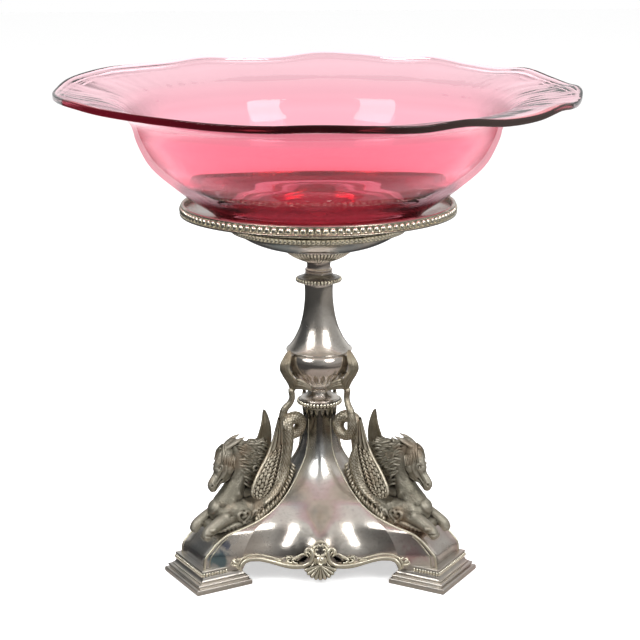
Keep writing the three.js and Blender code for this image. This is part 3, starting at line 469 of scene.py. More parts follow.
def worn_relief(name, high, low, dark, rough=0.34, grain=700.0, warm=0.0):
    """Cast or stamped relief: pale where it is rubbed, dark in its recesses, and carrying the painted shade
    and painted light that some pieces put in their depth.
    """
    material = bpy.data.materials.new(name)
    s = Shading(material)
    place = s.node("TexCoord", output="Object")
    depth = s.node("Attribute", {"attribute_name": "depth"}, output=2)
    clouds = s.noise(place, 110.0, 5.0)
    pits = s.noise(place, grain)
    depth = depth + (clouds - 0.5) * 0.3 + (pits - 0.5) * 0.12
    rubbed = (1 - depth).between(0.46, 0.72)
    recess_and_shade = depth.between(0.52, 0.86)
    colour = s.mix(rubbed, low, high)
    colour = s.mix(warm * s.noise(place, 75.0).between(0.5, 0.68), colour, RUBBED_BROWN)
    # Patina in the recesses, and painted shade where pieces mark their backs and undersides deep.
    colour = s.mix(recess_and_shade * 0.92, colour, dark)
    bump = s.node("Bump", sockets={"Strength": 0.35 + warm * 0.5, "Distance": 0.0006, "Height": pits})
    s.finish({"Base Color": colour, "Metallic": 1.0, "Normal": bump,
              "Roughness": rough + recess_and_shade * 0.35 + clouds * 0.12})
    return material


stepped_silver = polished_silver("stepped foot silver", stain=0.7, brushed=0.18, tone=0.9)
bead_silver = worn_relief(
    "bead silver", (0.76, 0.72, 0.60), (0.36, 0.335, 0.27), (0.035, 0.03, 0.022), rough=0.2)


def plinth_ring(inset, z):
    """Four corners of the plinth at a height, drawn in from its widest outline."""
    near, far, half = PLINTH_NEAR + inset, PLINTH_FAR - inset * END_INSET, PLINTH_HALF - inset
    return [(near, -half, z), (far, -half, z), (far, half, z), (near, half, z)]


def plinth_shape():
    """Stepped sides of a plinth, turned in at the foot and hollow underneath."""
    rings = [plinth_ring(inset, z) for inset, z in curve(PLINTH_STEPS, 4)]
    rings += [plinth_ring(inset, z) for inset, z in PLINTH_HOLLOW]
    return Shape(np.array(rings), grid_faces(len(rings), 4, wrap_rows=True))


def plinth_beads():
    """Upright beads along the end of a plinth and back along both its sides."""
    beads = []
    half = PLINTH_HALF - BEAD_INSET
    far = PLINTH_FAR - BEAD_INSET * END_INSET
    count = round(2 * half / BEAD_PITCH)
    for k in range(count):
        y = -half + (k + 0.5) * 2 * half / count
        beads.append(bead((far, y, BEAD_MIDDLE), BEAD_SIZE, lean=(BEAD_LEAN, 0, 1), out=(1, 0, 0)))
    for k in range(round(BEADED_SIDE / BEAD_PITCH)):
        for side in (-1, 1):
            place = (far - (k + 0.5) * BEAD_PITCH, side * half, BEAD_MIDDLE)
            beads.append(bead(place, BEAD_SIZE, lean=(0, BEAD_LEAN * side, 1), out=(0, side, 0)))
    return gather(beads)


for side, azimuth in LEGS.items():
    add_piece(f"plinth_{side}", plinth_shape().turned(azimuth), stepped_silver, "polished_plate",
              f"foot_plinth_{side}", sharp=25)
    add_piece(f"plinth_beads_{side}", plinth_beads().turned(azimuth), bead_silver, "moulding")


# Base: one thin casting that sweeps from the column out over three legs, with a raised rib
# along both edges of each leg and an arched apron between every two feet.
STATIONS = [
    (7.0, 84.5, 14.6, 47.0), (12.5, 84.5, 14.6, 47.1), (18.2, 83.7, 14.6, 46.3),
    (22.0, 80.3, 14.6, 44.8), (25.2, 76.9, 14.6, 42.9), (27.6, 73.5, 14.6, 41.2),
    (29.9, 68.6, 14.6, 39.4), (31.5, 60.2, 14.35, 38.0), (33.7, 50.4, 13.7, 35.9),
    (37.0, 41.3, 12.9, 32.2), (41.8, 33.3, 11.65, 27.1), (47.7, 26.5, 10.0, 22.0),
    (55.4, 19.7, 7.95, 16.5), (64.7, 13.2, 5.6, 11.3), (74.9, 10.1, 3.8, 8.3), (93.5, 8.7, 2.3, 8.3),
]
BASE_BOTTOM = 7.0
LEG_BOTTOM = 12.3
COLUMN_TOP = 93.5
CROWN = 87.5
WALL = 2.0
ROD_BORE = 3.4
SIXTH = math.pi / 3
SWEEP = 2.7
RIB_WIDTH = 1.7
RIB_HEIGHT = 0.9
APRON_WIDTH = 65.9
ARCH_FADE = 20
ARCH_LINE = [
    (0, 9.0), (8, 9.0), (12.4, 9.2), (16, 9.5), (21.5, 10.5), (27, 12.3), (34.4, 14.2), (40.0, 14.4),
    (42.6, 13.4), (44.0, 11.2), (44.6, 9.5), (46.2, 9.4), (46.6, 12.3), (66, 12.3),
]
HOLE = [(13.2, 13.5), (11.6, 12.9), (9.2, 13.1), (7.7, 14.6), (7.3, 16.2), (8.6, 16.5), (10.6, 15.6)]
CREST_HOLE = [(-1.3, 20.3), (0, 20.0), (1.3, 20.3), (0.3, 18.9), (-0.3, 18.9)]
APRONS = {"left": 270, "right": 30, "rear": 150}

sweep_up = curve(STATIONS, 12)


def station_at(z):
    """Ridge reach, half width and apron distance of the base at a height."""
    return [np.interp(z, sweep_up[:, 0], sweep_up[:, k]) for k in (1, 2, 3)]


def side_point(share, z, grow):
    """A point on the hollow side between a leg's edge (share 1) and the apron's middle (0)."""
    ridge, half, valley = (value + grow for value in station_at(z - grow if grow < 0 else z))
    corner_out = ridge * math.cos(SIXTH) + half * math.sin(SIXTH)
    corner_along = ridge * math.sin(SIXTH) - half * math.cos(SIXTH)
    out = valley + (corner_out - valley) * share**SWEEP
    along = corner_along * share
    x = out * math.cos(SIXTH) + along * math.sin(SIXTH)
    y = out * math.sin(SIXTH) - along * math.cos(SIXTH)
    return (x, y)


arch_t, arch_z = np.array(ARCH_LINE, float).T
side_places = np.concatenate(
    [np.linspace(0, 40, 24), np.linspace(41, 48.5, 16), np.linspace(50.5, APRON_WIDTH, 9)])
side_shares = side_places / APRON_WIDTH


def base_ring(z, grow):
    """One level of the base. The lower it lies, the more of the arch's rise it takes."""
    foot = max(0, 1 - (z - BASE_BOTTOM) / ARCH_FADE)
    leg_lift = (LEG_BOTTOM - BASE_BOTTOM) * foot
    ridge, half, _ = (value + grow for value in station_at(z + leg_lift + max(0, -grow)))
    lifts = (np.interp(side_shares * APRON_WIDTH, arch_t, arch_z) - BASE_BOTTOM) * foot
    sides = [(*side_point(share, z + lift, grow), z + lift) for share, lift in zip(side_shares, lifts)]
    rib = min(RIB_WIDTH, half * 0.45)
    height = RIB_HEIGHT * min(1, half / 6) if grow == 0 else 0
    low, mid = ridge - height, half - rib
    edge = [
        (ridge - 0.25 * height, half - 0.02), (ridge, half - 0.35 * rib),
        (ridge - 0.1 * height, half - 0.6 * rib), (low, mid), (low, mid * 0.72), (low, mid * 0.36),
    ]
    across = [(x, -y) for x, y in edge] + [(low, 0)] + edge[::-1]
    outline = [(x, -y, h) for x, y, h in sides]
    outline += [(x, y, z + leg_lift) for x, y in across]
    outline += sides[:0:-1]
    return np.vstack([turn(outline, 120 * k) for k in range(3)])


def base_shape():
    """Up the outside, over the column's crown and down the inside."""
    levels = np.concatenate(
        [np.linspace(BASE_BOTTOM, 33, 34), np.linspace(34, 60, 22), np.linspace(62, COLUMN_TOP, 15)])
    rings = [base_ring(z, 0) for z in levels]
    count = len(rings[0])
    angles = np.arctan2(rings[-1][:, 1], rings[-1][:, 0])
    bore = ROD_BORE * np.column_stack([np.cos(angles), np.sin(angles)])
    rings += [np.column_stack([bore, np.full(count, z)]) for z in (COLUMN_TOP, CROWN)]
    rings += [base_ring(z, -WALL) for z in levels[levels < CROWN][::-2]]
    rings.append(base_ring(BASE_BOTTOM, -WALL))
    return Shape(np.vstack(rings), grid_faces(len(rings), count, wrap_rows=True))


def loose_body(shape):
    """An object that is only a tool for making another shape."""
    made = bmesh.new()
    corners = [made.verts.new(point) for point in shape.points]
    for face in shape.faces:
        made.faces.new([corners[k] for k in face])
    bmesh.ops.recalc_face_normals(made, faces=made.faces)
    mesh = bpy.data.meshes.new("worked")
    made.to_mesh(mesh)
    made.free()
    body = bpy.data.objects.new("worked", mesh)
    bpy.context.scene.collection.objects.link(body)
    return body


def modified(shape, *changes):
    """A shape after Blender's modifiers, each given as its kind and its settings."""
    body = loose_body(shape)
    for kind, settings in changes:
        change = body.modifiers.new(kind, kind)
        for name, value in settings.items():
            setattr(change, name, value)
    made = body.evaluated_get(bpy.context.evaluated_depsgraph_get()).to_mesh()
    points = [vertex.co[:] for vertex in made.vertices]
    faces = [list(face.vertices) for face in made.polygons]
    bpy.data.objects.remove(body)
    return Shape(points, faces)


def punches():
    """The tools that pierce each apron: one hole in the crest and one inside each scroll."""
    made = []
    for azimuth in APRONS.values():
        for flip, outline in ((1, HOLE), (-1, HOLE), (1, CREST_HOLE)):
            ring = np.array(outline) * (flip, 1)
            count = len(ring)
            ends = [np.column_stack([np.full(count, x), ring]) for x in (30, 62)]
            faces = grid_faces(2, count) + [list(range(count))[::-1], list(range(count, 2 * count))]
            faces = [face[::-1] for face in faces] if flip < 0 else faces
            made.append(Shape(np.vstack(ends), faces).turned(azimuth))
    return gather(made)


BLUE_STAIN = ((-0.0565, -0.0520, 0.0160), 0.0080, (0.06, 0.135, 0.165))
SLATE_STAIN = ((-0.0535, -0.0490, 0.0240), 0.0045, (0.10, 0.115, 0.165))
PINK_STAIN = ((0.0525, -0.0510, 0.0185), 0.0075, (0.46, 0.30, 0.30))
stains = [BLUE_STAIN, SLATE_STAIN, PINK_STAIN]
# Painted shade on every side: a dark patch round each apron's shell, and a dark reflection painted at the
# top of the column.
for azimuth in APRONS.values():
    stains.append((tuple(turn((0.0462, 0, 0.0165), azimuth)), 0.0165, (0.15, 0.13, 0.105)))
    stains.append((tuple(turn((0.0095, 0, 0.0860), azimuth)), 0.0170, (0.13, 0.115, 0.095)))
base_silver = polished_silver("base silver", brushed=0.05, stains_and_shade=stains, folded=True)
punch = loose_body(punches())
cast_shell = modified(base_shape().turned(LEGS["left"]), ("BOOLEAN", {"object": punch, "solver": "EXACT"}))
bpy.data.objects.remove(punch)
add_piece("base_casting", cast_shell, base_silver, "polished_plate", "base_shell", sharp=50)


# Arch mouldings and shells: a thick reed under a thin one follows the edge of every apron from
# a leafy foot beside the leg to a scroll, and a scalloped shell hangs between the scrolls.
REED = [
    (7.7, 17.6, 0.6, 0.5), (8.7, 18.8, 0.7, 0.8), (7.4, 20.4, 0.8, 1.0), (5.6, 20.3, 0.9, 1.0),
    (4.5, 18.4, 0.9, 1.05), (4.8, 15.4, 0.9, 1.1), (6.4, 12.7, 0.8, 1.2), (9.7, 11.0, 0.6, 1.35),
    (13.5, 10.7, 0.5, 1.5), (17.5, 11.0, 0.4, 1.5), (22, 12.0, 0.3, 1.4), (27, 13.6, 0.3, 1.3),
    (34.4, 15.6, 0.3, 1.2), (39.8, 15.8, 0.3, 1.15), (43.2, 14.8, 0.4, 1.1), (45.2, 12.4, 0.5, 1.05),
    (45.6, 10.6, 0.7, 0.9), (44.9, 9.7, 0.9, 0.6),
]
THIN_REED = [
    (20.2, 16.3, 0.5, 0.3), (22.5, 15.2, 0.5, 0.45), (27, 16.2, 0.4, 0.5), (34.4, 18.0, 0.4, 0.5),
    (40.4, 18.1, 0.4, 0.5), (44.4, 16.7, 0.5, 0.55), (46.6, 14.2, 0.6, 0.6), (47.3, 12.0, 0.7, 0.7),
    (46.6, 10.6, 0.8, 0.5),
]
LEAVES = [
    [(46.8, 13.4, 0.5, 0.6), (48.4, 14.2, 0.8, 1.1), (49.6, 15.4, 0.8, 0.9), (49.2, 16.5, 0.6, 0.5),
     (48.2, 16.1, 0.6, 0.4)],
    [(47.2, 12.2, 0.5, 0.6), (49.2, 12.8, 0.7, 0.8), (50.8, 13.6, 0.6, 0.6), (50.6, 14.6, 0.5, 0.4)],
    [(45.8, 15.0, 0.5, 0.5), (46.6, 16.0, 0.7, 0.8), (47.4, 16.9, 0.5, 0.4)],
    [(0.6, 17.5, 0.6, 0.4), (2.2, 17.7, 0.7, 0.5), (2.9, 19.0, 0.8, 0.5), (2.3, 20.3, 0.8, 0.5),
     (1.5, 19.7, 0.8, 0.35)],
    [(16.2, 12.9, 0.6, 0.5), (18.0, 13.2, 0.9, 0.8), (19.4, 14.6, 0.9, 0.7), (18.8, 16.2, 0.8, 0.6),
     (17.4, 16.0, 0.7, 0.5), (17.3, 14.9, 0.8, 0.4)],
    [(13.2, 12.6, 0.6, 0.5), (14.9, 13.0, 0.9, 0.7), (16.0, 14.2, 0.9, 0.6), (15.2, 15.3, 0.8, 0.5),
     (14.2, 14.6, 0.7, 0.4)],
    [(11.6, 16.6, 0.4, 0.4), (13.4, 15.6, 0.6, 0.6), (16.6, 15.9, 0.5, 0.4), (19.6, 16.9, 0.4, 0.25)],
    [(5.2, 16.6, 0.4, 0.3), (6.5, 18.2, 0.7, 0.55), (7.0, 19.2, 0.4, 0.25)],
    [(6.6, 16.2, 0.4, 0.3), (7.6, 17.0, 0.7, 0.5), (8.9, 18.4, 0.4, 0.25)],
    [(8.6, 17.2, 0.4, 0.3), (10.2, 17.8, 0.6, 0.6), (12.6, 16.6, 0.5, 0.6), (14.6, 16.2, 0.4, 0.3)],
    [(22.0, 14.0, 0.6, 0.3), (24.0, 14.6, 0.6, 0.6), (26.6, 15.0, 0.5, 0.3)],
    [(3.6, 16.9, 0.6, 0.4), (4.0, 19.3, 0.8, 0.6), (3.2, 21.4, 0.8, 0.6), (1.7, 21.9, 0.8, 0.5),
     (1.6, 20.9, 0.8, 0.35)],
    [(0.1, 16.6, 0.7, 0.5), (1.9, 16.9, 0.8, 0.6), (3.4, 18.2, 0.8, 0.6)],
    [(4.5, 19.4, 0.3, 0.4), (4.3, 21.6, 0.4, 0.7), (2.8, 23.5, 0.4, 0.8), (0.0, 24.3, 0.4, 0.9)],
    [(0.0, 21.6, 0.5, 0.4), (1.0, 22.4, 0.6, 0.5), (1.3, 23.2, 0.4, 0.3)],
    [(2.9, 15.6, 0.9, 0.4), (3.4, 13.9, 0.9, 0.5), (2.6, 12.1, 0.9, 0.4)],
    [(3.9, 12.9, 0.5, 0.3), (4.6, 11.4, 0.8, 0.6), (6.6, 9.9, 0.9, 0.5), (8.4, 9.6, 0.7, 0.3)],
]
SWIRL = [
    (0.2, 16.2, 1.0, 0.35), (2.0, 15.5, 1.1, 0.5), (2.5, 13.8, 1.1, 0.5), (1.2, 12.4, 1.3, 0.5),
    (-1.0, 12.6, 1.6, 0.5), (-1.6, 14.1, 1.8, 0.45), (-0.5, 15.0, 1.9, 0.4), (0.5, 14.2, 2.0, 0.35),
]
FAN_APEX = 11.9
FAN_LOBES = 9
FAN_HALF = math.radians(80)
RIB_HEIGHTS = (12.6, 18.2, 22.0, 25.2, 27.6, 29.9, 31.5, 33.7, 37, 41.8, 47.7, 55.4, 64.7, 74.9, 86.0)
PANEL_HEIGHTS = (13.0, 16, 19, 22.0, 24.6, 26.8, 28.4)
PANEL_INSET = 3.0


def apron_reach(t, z):
    """How far an apron stands from the stem at t to the side of its middle."""
    ridge, half, valley = station_at(z)
    corner = ridge * math.cos(SIXTH) + half * math.sin(SIXTH)
    along = ridge * math.sin(SIXTH) - half * math.cos(SIXTH)
    return valley + (corner - valley) * abs(t / along) ** SWEEP


def on_apron(t, z, out=0.0):
    """A point at a height above the surface of the apron."""
    lean_t = apron_reach(t - 0.5, z) - apron_reach(t + 0.5, z)
    lean_z = apron_reach(t, z - 0.5) - apron_reach(t, z + 0.5)
    away = np.array(Vector((1, lean_t, lean_z)).normalized())
    return np.array((apron_reach(t, z), t, z)) + away * out


def strand(stations, sides=10, steps=4, wide=(0, 1, 0)):
    """A closed rounded strand: each station is a centre, a half width and a half depth."""
    run = curve([tuple(station) for station in stations], steps)
    along = np.gradient(run[:, :3], axis=0)
    along /= np.linalg.norm(along, axis=1)[:, None]
    angles = np.arange(sides) * 2 * math.pi / sides
    wide = np.array(wide, float)
    rings = []
    last = len(run) - 1
    for i, (station, way) in enumerate(zip(run, along)):
        wide = wide - way * (wide @ way)
        wide /= np.linalg.norm(wide)
        deep = np.cross(wide, way)
        ring = station[3] * np.cos(angles)[:, None] * wide + station[4] * np.sin(angles)[:, None] * deep
        tip = [(math.sin(t), math.cos(t)) for t in (1.35, 0.95, 0.45)]
        round_end = [(s * 0.7 * min(station[3:]), c) for s, c in tip]
        if i == 0:
            rings += [station[:3] - way * shift + ring * scale for shift, scale in round_end]
        rings.append(station[:3] + ring)
        if i == last:
            rings += [station[:3] + way * shift + ring * scale for shift, scale in round_end[::-1]]
    faces = grid_faces(len(rings), sides)
    count = len(rings) * sides
    faces += [list(range(sides)), list(range(count - sides, count))[::-1]]
    return Shape(np.vstack(rings), faces)


def round_strand(made, sides, wave=np.sin):
    """Sine or cosine of each point's place round its strand."""
    return np.tile(wave(np.arange(sides) * 2 * math.pi / sides), len(made.points) // sides)


def raised_line(path, sides=10, high=0.9, flip=1):
    """A rounded line on an apron; each point is t, z, height of its middle and half width."""
    stations = [(*on_apron(flip * t, z, out), half, half * high) for t, z, out, half in path]
    way = np.array(stations[1][:3]) - np.array(stations[0][:3])
    line = strand(stations, sides, 5, wide=np.cross((1, 0, 0), way))
    # Painted shade: each line is darker on the side that lies against the apron.
    line.depth = np.clip(0.3 + 0.6 * round_strand(line, sides), 0, 1)
    return line


def shell_fan():
    """The scallop: ribs spread from under the boss and curl forward at their tips."""
    rows, columns = 16, 109
    front, back, dark = [], [], []
    for share in np.linspace(0.0, 1, rows):
        for spread in np.linspace(-1, 1, columns):
            rib = abs(math.cos(math.pi * FAN_LOBES / 2 * spread)) ** 0.6
            length = 0.6 + share * (7.7 + 0.9 * rib + 0.5 * abs(spread))
            angle = FAN_HALF * spread
            t, z = length * math.sin(angle), FAN_APEX - length * math.cos(angle)
            out = 1.5 + 0.5 * share**2 + (0.25 + 0.85 * share) * rib - 0.9 * max(0, share - 0.93) / 0.07
            front.append(on_apron(t, z, out))
            back.append(on_apron(t, z, 0.6 * share**2 - 0.3))
            dark.append(0.95 - 0.75 * rib + 0.1 * (1 - share))
    front = np.array(front).reshape(rows, columns, 3)
    back = np.array(back).reshape(rows, columns, 3)[:, ::-9]
    rings = np.concatenate([front, back], axis=1)
    count = rings.shape[1]
    dark = np.concatenate([np.reshape(dark, (rows, columns)), np.full(back.shape[:2], 0.6)], axis=1)
    faces = grid_faces(rows, count)
    faces += [list(range(count))[::-1], list(range((rows - 1) * count, rows * count))]
    return Shape(rings.reshape(-1, 3), faces, dark)


def apron_ornament():
    """Shell, boss and scroll in the middle, and reeds and leaves alike on both sides of it."""
    parts = [shell_fan()]
    parts.append(bead(on_apron(0, 14.1, 0.3), (3.1, 1.5, 2.6), 20, 12))
    parts.append(bead(on_apron(0, 11.7, 1.2), (1.3, 1.0, 1.0), 12, 8))
    parts.append(raised_line(SWIRL, 10, 0.9))
    for flip in (-1, 1):
        parts.append(raised_line(REED, 14, 0.85, flip))
        parts.append(raised_line(THIN_REED, 10, 0.9, flip))
        parts += [raised_line(leaf, 10, 0.8, flip) for leaf in LEAVES]
        parts.append(bead(on_apron(flip * 8.0, 18.7, 0.9), (0.8, 0.7, 0.8)))
        parts.append(bead(on_apron(flip * 18.2, 14.8, 0.8), (0.6, 0.6, 0.6)))
    return gather(parts)


def leg_ribs():
    """A bright rib along each edge of a leg, and a fine line that bounds the plain side panel."""
    parts = []
    for flip in (-1, 1):
        edge = []
        for z in RIB_HEIGHTS:
            ridge, half, _ = station_at(z)
            size = 0.78 - 0.4 * min(1, max(0, z - 28) / 20)
            edge.append((ridge - 0.2, flip * (half - 0.2), z, size, size))
        rib = strand(edge, 10, 5)
        rib.depth = 0.25 + 0.2 * np.abs(round_strand(rib, 10))
        parts.append(rib)
        panel = []
        for z in PANEL_HEIGHTS:
            x, y = side_point(1 - PANEL_INSET / APRON_WIDTH, z, 0)
            panel.append((x, -flip * y, z, 0.3, 0.3))
        parts.append(strand(panel, 8, 4))
    return gather(parts)


ornament_silver = worn_relief(
    "ornament silver", (0.60, 0.56, 0.45), (0.34, 0.315, 0.25), (0.05, 0.043, 0.03), rough=0.3)
ornament = apron_ornament()
for side, azimuth in APRONS.items():
    add_piece(f"shell_and_mouldings_{side}", ornament.turned(azimuth), ornament_silver, "moulding",
              f"apron_shell_{side}", sharp=60)
for side, azimuth in LEGS.items():
    add_piece(f"leg_ribs_{side}", leg_ribs().turned(azimuth), ornament_silver, "moulding", sharp=60)


# Tie rod, washer, nut and horse screws: plain steel fixings inside the stand. The rod clamps
# the turned stack to the base, and a screw from inside each leg holds a horse.
fixing_steel = polished_silver("fixing steel", stain=1.0, brushed=0.25)
for node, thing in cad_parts.items():
    if node.startswith(("tie_rod", "sea_horse_screw")):
        thing.data.materials.clear()
        thing.data.materials.append(fixing_steel)


# Column cap and leaf collar: a turned flange with a beaded edge, and a ring of small
# pointed leaves chased under it.
FLANGE_RADIUS = 13.4
FLANGE_BEADS = 38
COLLAR_LEAVES = 18
LEAF_TOP = 93.3
LEAF_DROP = 6.2
CAP_TOP = 105.5


def turned(profile, steps=160, vary=None):
    """A turned ring: a closed run of radius and height, which may vary with the angle."""
    profile = np.asarray(profile, float)
    angles = np.arange(steps) * 2 * math.pi / steps
    radius = np.repeat(profile[:, :1], steps, axis=1)
    height = np.repeat(profile[:, 1:2], steps, axis=1)
    if vary:
        radius, height = vary(radius, height, np.broadcast_to(angles, radius.shape))
    points = np.stack([radius * np.cos(angles), radius * np.sin(angles), height], axis=-1)
    return Shape(points.reshape(-1, 3), grid_faces(len(profile), steps, wrap_rows=True))


def bead_ring(count, radius, z, size, lean=0.0):
    """Beads set edge to edge round a ring."""
    beads = []
    for k in range(count):
        angle = 2 * math.pi * k / count
        out = (math.cos(angle), math.sin(angle), 0)
        tilt = (lean * out[0], lean * out[1], 1)
        beads.append(bead((radius * out[0], radius * out[1], z), size, lean=tilt, out=out))
    return gather(beads)


def bored(foot, outline, top, steps):
    """A profile whose outside is a smooth outline and whose inside is the bore for the tie rod."""
    start, end = (ROD_BORE, foot), (ROD_BORE, top)
    return curve([start, start, *outline, end, end, start], steps)[:-1]


stem_silver = polished_silver("stem silver", brushed=0.05)
cap_profile = bored(COLUMN_TOP, [
    (10.4, 93.5), (10.4, 93.5), (11.6, 93.8), (12.3, 94.4), (12.5, 95.4), (12.3, 96.6), (11.6, 97.4),
    (11.6, 97.4), (11.2, 97.9), (10.6, 98.1), (9.2, 98.5), (7.9, 99.6), (7.0, 101.1), (6.6, 102.3),
    (6.6, 102.3), (7.2, 102.5), (7.5, 102.9), (7.5, 103.4), (7.2, 103.8), (7.2, 103.8), (6.5, 104.0),
    (6.4, 104.6), (6.6, 105.5), (6.6, 105.5),
], CAP_TOP, 4)
turned_cap = turned(cap_profile, 120)
# Painted shade: the flange is darkened up to just under its top, round and behind its beads.
turned_cap.depth = np.where(turned_cap.points[:, 2] < 97.2, 0.95, 0.4)
add_piece("turned_cap", turned_cap, stem_silver, "polished_plate", "column_cap")
flange_beads = bead_ring(FLANGE_BEADS, FLANGE_RADIUS - 0.95, 95.5, (0.86, 1.0, 1.35))
add_piece("flange_beads", flange_beads, bead_silver, "moulding")


def leaf_collar():
    """Leaves hang from the ring and taper to points, each with a raised midrib."""
    parts = []
    columns, rows = 5, 7
    for k in range(COLLAR_LEAVES):
        outer, inner = [], []
        for row in range(rows):
            drop = row / (rows - 1)
            z = LEAF_TOP - drop * LEAF_DROP
            base_radius = 9.35 + 0.15 * (1 - drop)
            half = math.pi / COLLAR_LEAVES * 0.94 * (1 - drop**1.8) + 0.01
            for column in range(columns):
                u = column / (columns - 1) * 2 - 1
                angle = 2 * math.pi * k / COLLAR_LEAVES + half * u
                swell = 0.75 * (1 - 0.75 * abs(u)) * (0.6 + 0.4 * math.sin(math.pi * min(1, drop * 1.4)))
                for made, reach in ((outer, base_radius + swell), (inner, base_radius * 0.99)):
                    made.append((reach * math.cos(angle), reach * math.sin(angle), z))
        parts.append(closed_sheet(outer, inner, rows, columns))
    return gather(parts)


def closed_sheet(outer, inner, rows, columns):
    """A thin body between two grids of points with the same rows and columns."""
    points = list(outer) + list(inner)
    faces = grid_faces(rows, columns, wrap_columns=False)
    shift = rows * columns
    faces += [[k + shift for k in face[::-1]] for face in grid_faces(rows, columns, wrap_columns=False)]
    rim = list(range(columns))
    rim += [row * columns + columns - 1 for row in range(1, rows)]
    rim += [(rows - 1) * columns + k for k in range(columns - 2, -1, -1)]
    rim += [row * columns for row in range(rows - 2, 0, -1)]
    for a, b in zip(rim, rim[1:] + rim[:1]):
        faces.append([b, a, a + shift, b + shift])
    return Shape(points, faces)


band = turned([(9.2, 93.45), (9.2, 92.3), (10.1, 92.3), (10.4, 92.7), (10.4, 93.2), (10.2, 93.45)], 96)
leaves = leaf_collar() + band
# Painted shade: the backs and edges of the leaves and the band behind them are darkened, and the middles of
# the leaves are left lighter.
leaves.depth = np.where(np.hypot(leaves.points[:, 0], leaves.points[:, 1]) < 9.85, 0.95, 0.55)
add_piece("hanging_leaves", leaves, bead_silver, "moulding", "leaf_collar")


# Gadrooned cup and vase: the cup is chased with a ring of lobes at its foot, and the vase
# stands on it at a fine seam and narrows to the knop.
CUP_LOBES = 20
CUP_TOP = 126.5
VASE_TOP = 167.2

cup_profile = bored(CAP_TOP, [
    (8.4, 105.5), (9.2, 105.8), (9.2, 106.3), (9.2, 106.3), (10.0, 106.8), (12.1, 108.1), (14.2, 109.9),
    (15.9, 112.2), (17.5, 114.6), (18.5, 117.0), (19.2, 119.4), (19.3, 121.2), (19.0, 123.2),
    (18.3, 124.9), (17.7, 125.7), (17.7, 125.7), (18.2, 125.8), (18.4, 126.2), (18.4, 126.5),
    (18.4, 126.5),
], CUP_TOP, 6)


def gadroons(radius, height, angles):
    """Presses the cup in between its lobes, from the foot up to where they run out."""
    share = np.clip((height - 106.6) / 8.8, 0, 1)
    window = np.where((height > 106.5) & (height < 115.4) & (radius > 9), np.sin(math.pi * share) ** 0.6, 0)
    lobe = np.abs(np.cos(angles * CUP_LOBES / 2)) ** 0.55
    return radius - 1.5 * window * (1 - lobe), height


chased_cup = turned(cup_profile, 400, gadroons)
add_piece("chased_cup", chased_cup, stem_silver, "polished_plate", "gadrooned_cup", sharp=50)

vase_profile = bored(CUP_TOP, [
    (18.7, 126.5), (18.7, 126.5), (19.2, 126.8), (19.3, 127.3), (18.9, 127.7), (18.9, 127.7),
    (18.0, 128.5), (16.4, 130.5), (14.6, 133.2), (12.7, 137.0), (11.2, 140.6), (10.1, 144.5),
    (9.3, 148.2), (8.6, 153.0), (8.2, 157.5), (8.1, 161.0), (8.2, 164.6), (8.5, 166.0), (8.5, 166.0),
    (9.0, 166.2), (9.2, 166.7), (9.0, 167.2), (9.0, 167.2),
], VASE_TOP, 6)
add_piece("trumpet_vase", turned(vase_profile, 160), stem_silver, "polished_plate", "stem_vase")


# Knop, neck and fluted collar: a beaded disc, a short spool with a ring, and a fluted disc
# that carries the dish.
KNOP_RADIUS = 13.4
KNOP_BEADS = 40
KNOP_TOP = 173.5
NECK_TOP = 179.7
COLLAR_TOP = 187.2
FLUTES = 60

knop_profile = bored(VASE_TOP, [
    (10.6, 167.2), (11.6, 167.3), (12.5, 167.8), (12.8, 168.7), (12.4, 169.6), (11.6, 170.0),
    (11.6, 170.0), (10.2, 170.2), (8.9, 171.1), (8.0, 172.0), (7.7, 172.6), (7.7, 172.6), (7.9, 172.9),
    (7.8, 173.3), (7.2, 173.5), (7.2, 173.5),
], KNOP_TOP, 5)
turned_knop = turned(knop_profile, 120)
# Painted shade: the knop is darkened up to its neck, round and behind its beads.
turned_knop.depth = np.where(turned_knop.points[:, 2] < 172.4, 0.9, 0.4)
add_piece("turned_knop", turned_knop, stem_silver, "polished_plate", "beaded_knop")
knop_beads = bead_ring(KNOP_BEADS, KNOP_RADIUS - 0.9, 168.6, (0.8, 0.96, 1.15))
add_piece("knop_beads", knop_beads, bead_silver, "moulding")

neck_profile = bored(KNOP_TOP, [
    (7.0, 173.5), (7.6, 173.8), (7.9, 174.4), (7.6, 175.0), (7.1, 175.2),
    (7.1, 175.2), (6.8, 175.8), (6.7, 177.0), (6.9, 178.3), (7.2, 179.2), (7.2, 179.7), (7.2, 179.7),
], NECK_TOP, 5)
add_piece("turned_neck", turned(neck_profile, 96), stem_silver, "polished_plate", "dish_neck")

collar_profile = bored(NECK_TOP, [
    (8.6, 179.7), (9.6, 180.1), (9.6, 180.1), (12.2, 181.0), (15.0, 182.4), (17.6, 184.1), (19.4, 185.6),
    (20.2, 186.6), (20.3, 187.1), (20.3, 187.1), (20.0, 187.2), (20.0, 187.2),
], COLLAR_TOP, 5)


def flutes(radius, height, angles):
    """Cuts the flutes into the side of the collar and leaves its flat top whole."""
    window = np.clip((radius - 9.8) / 1.5, 0, 1) * (height < COLLAR_TOP - 0.05)
    return radius - 0.9 * window * (1 - np.abs(np.cos(angles * FLUTES / 2)) ** 0.6), height


fluted = turned(collar_profile, 600, flutes)
phase = np.arctan2(fluted.points[:, 1], fluted.points[:, 0]) * FLUTES / 2
fluted.depth = 0.95 - 0.8 * np.abs(np.cos(phase)) ** 0.8
add_piece("fluted_disc", fluted, bead_silver, "polished_plate", "fluted_collar", sharp=60)


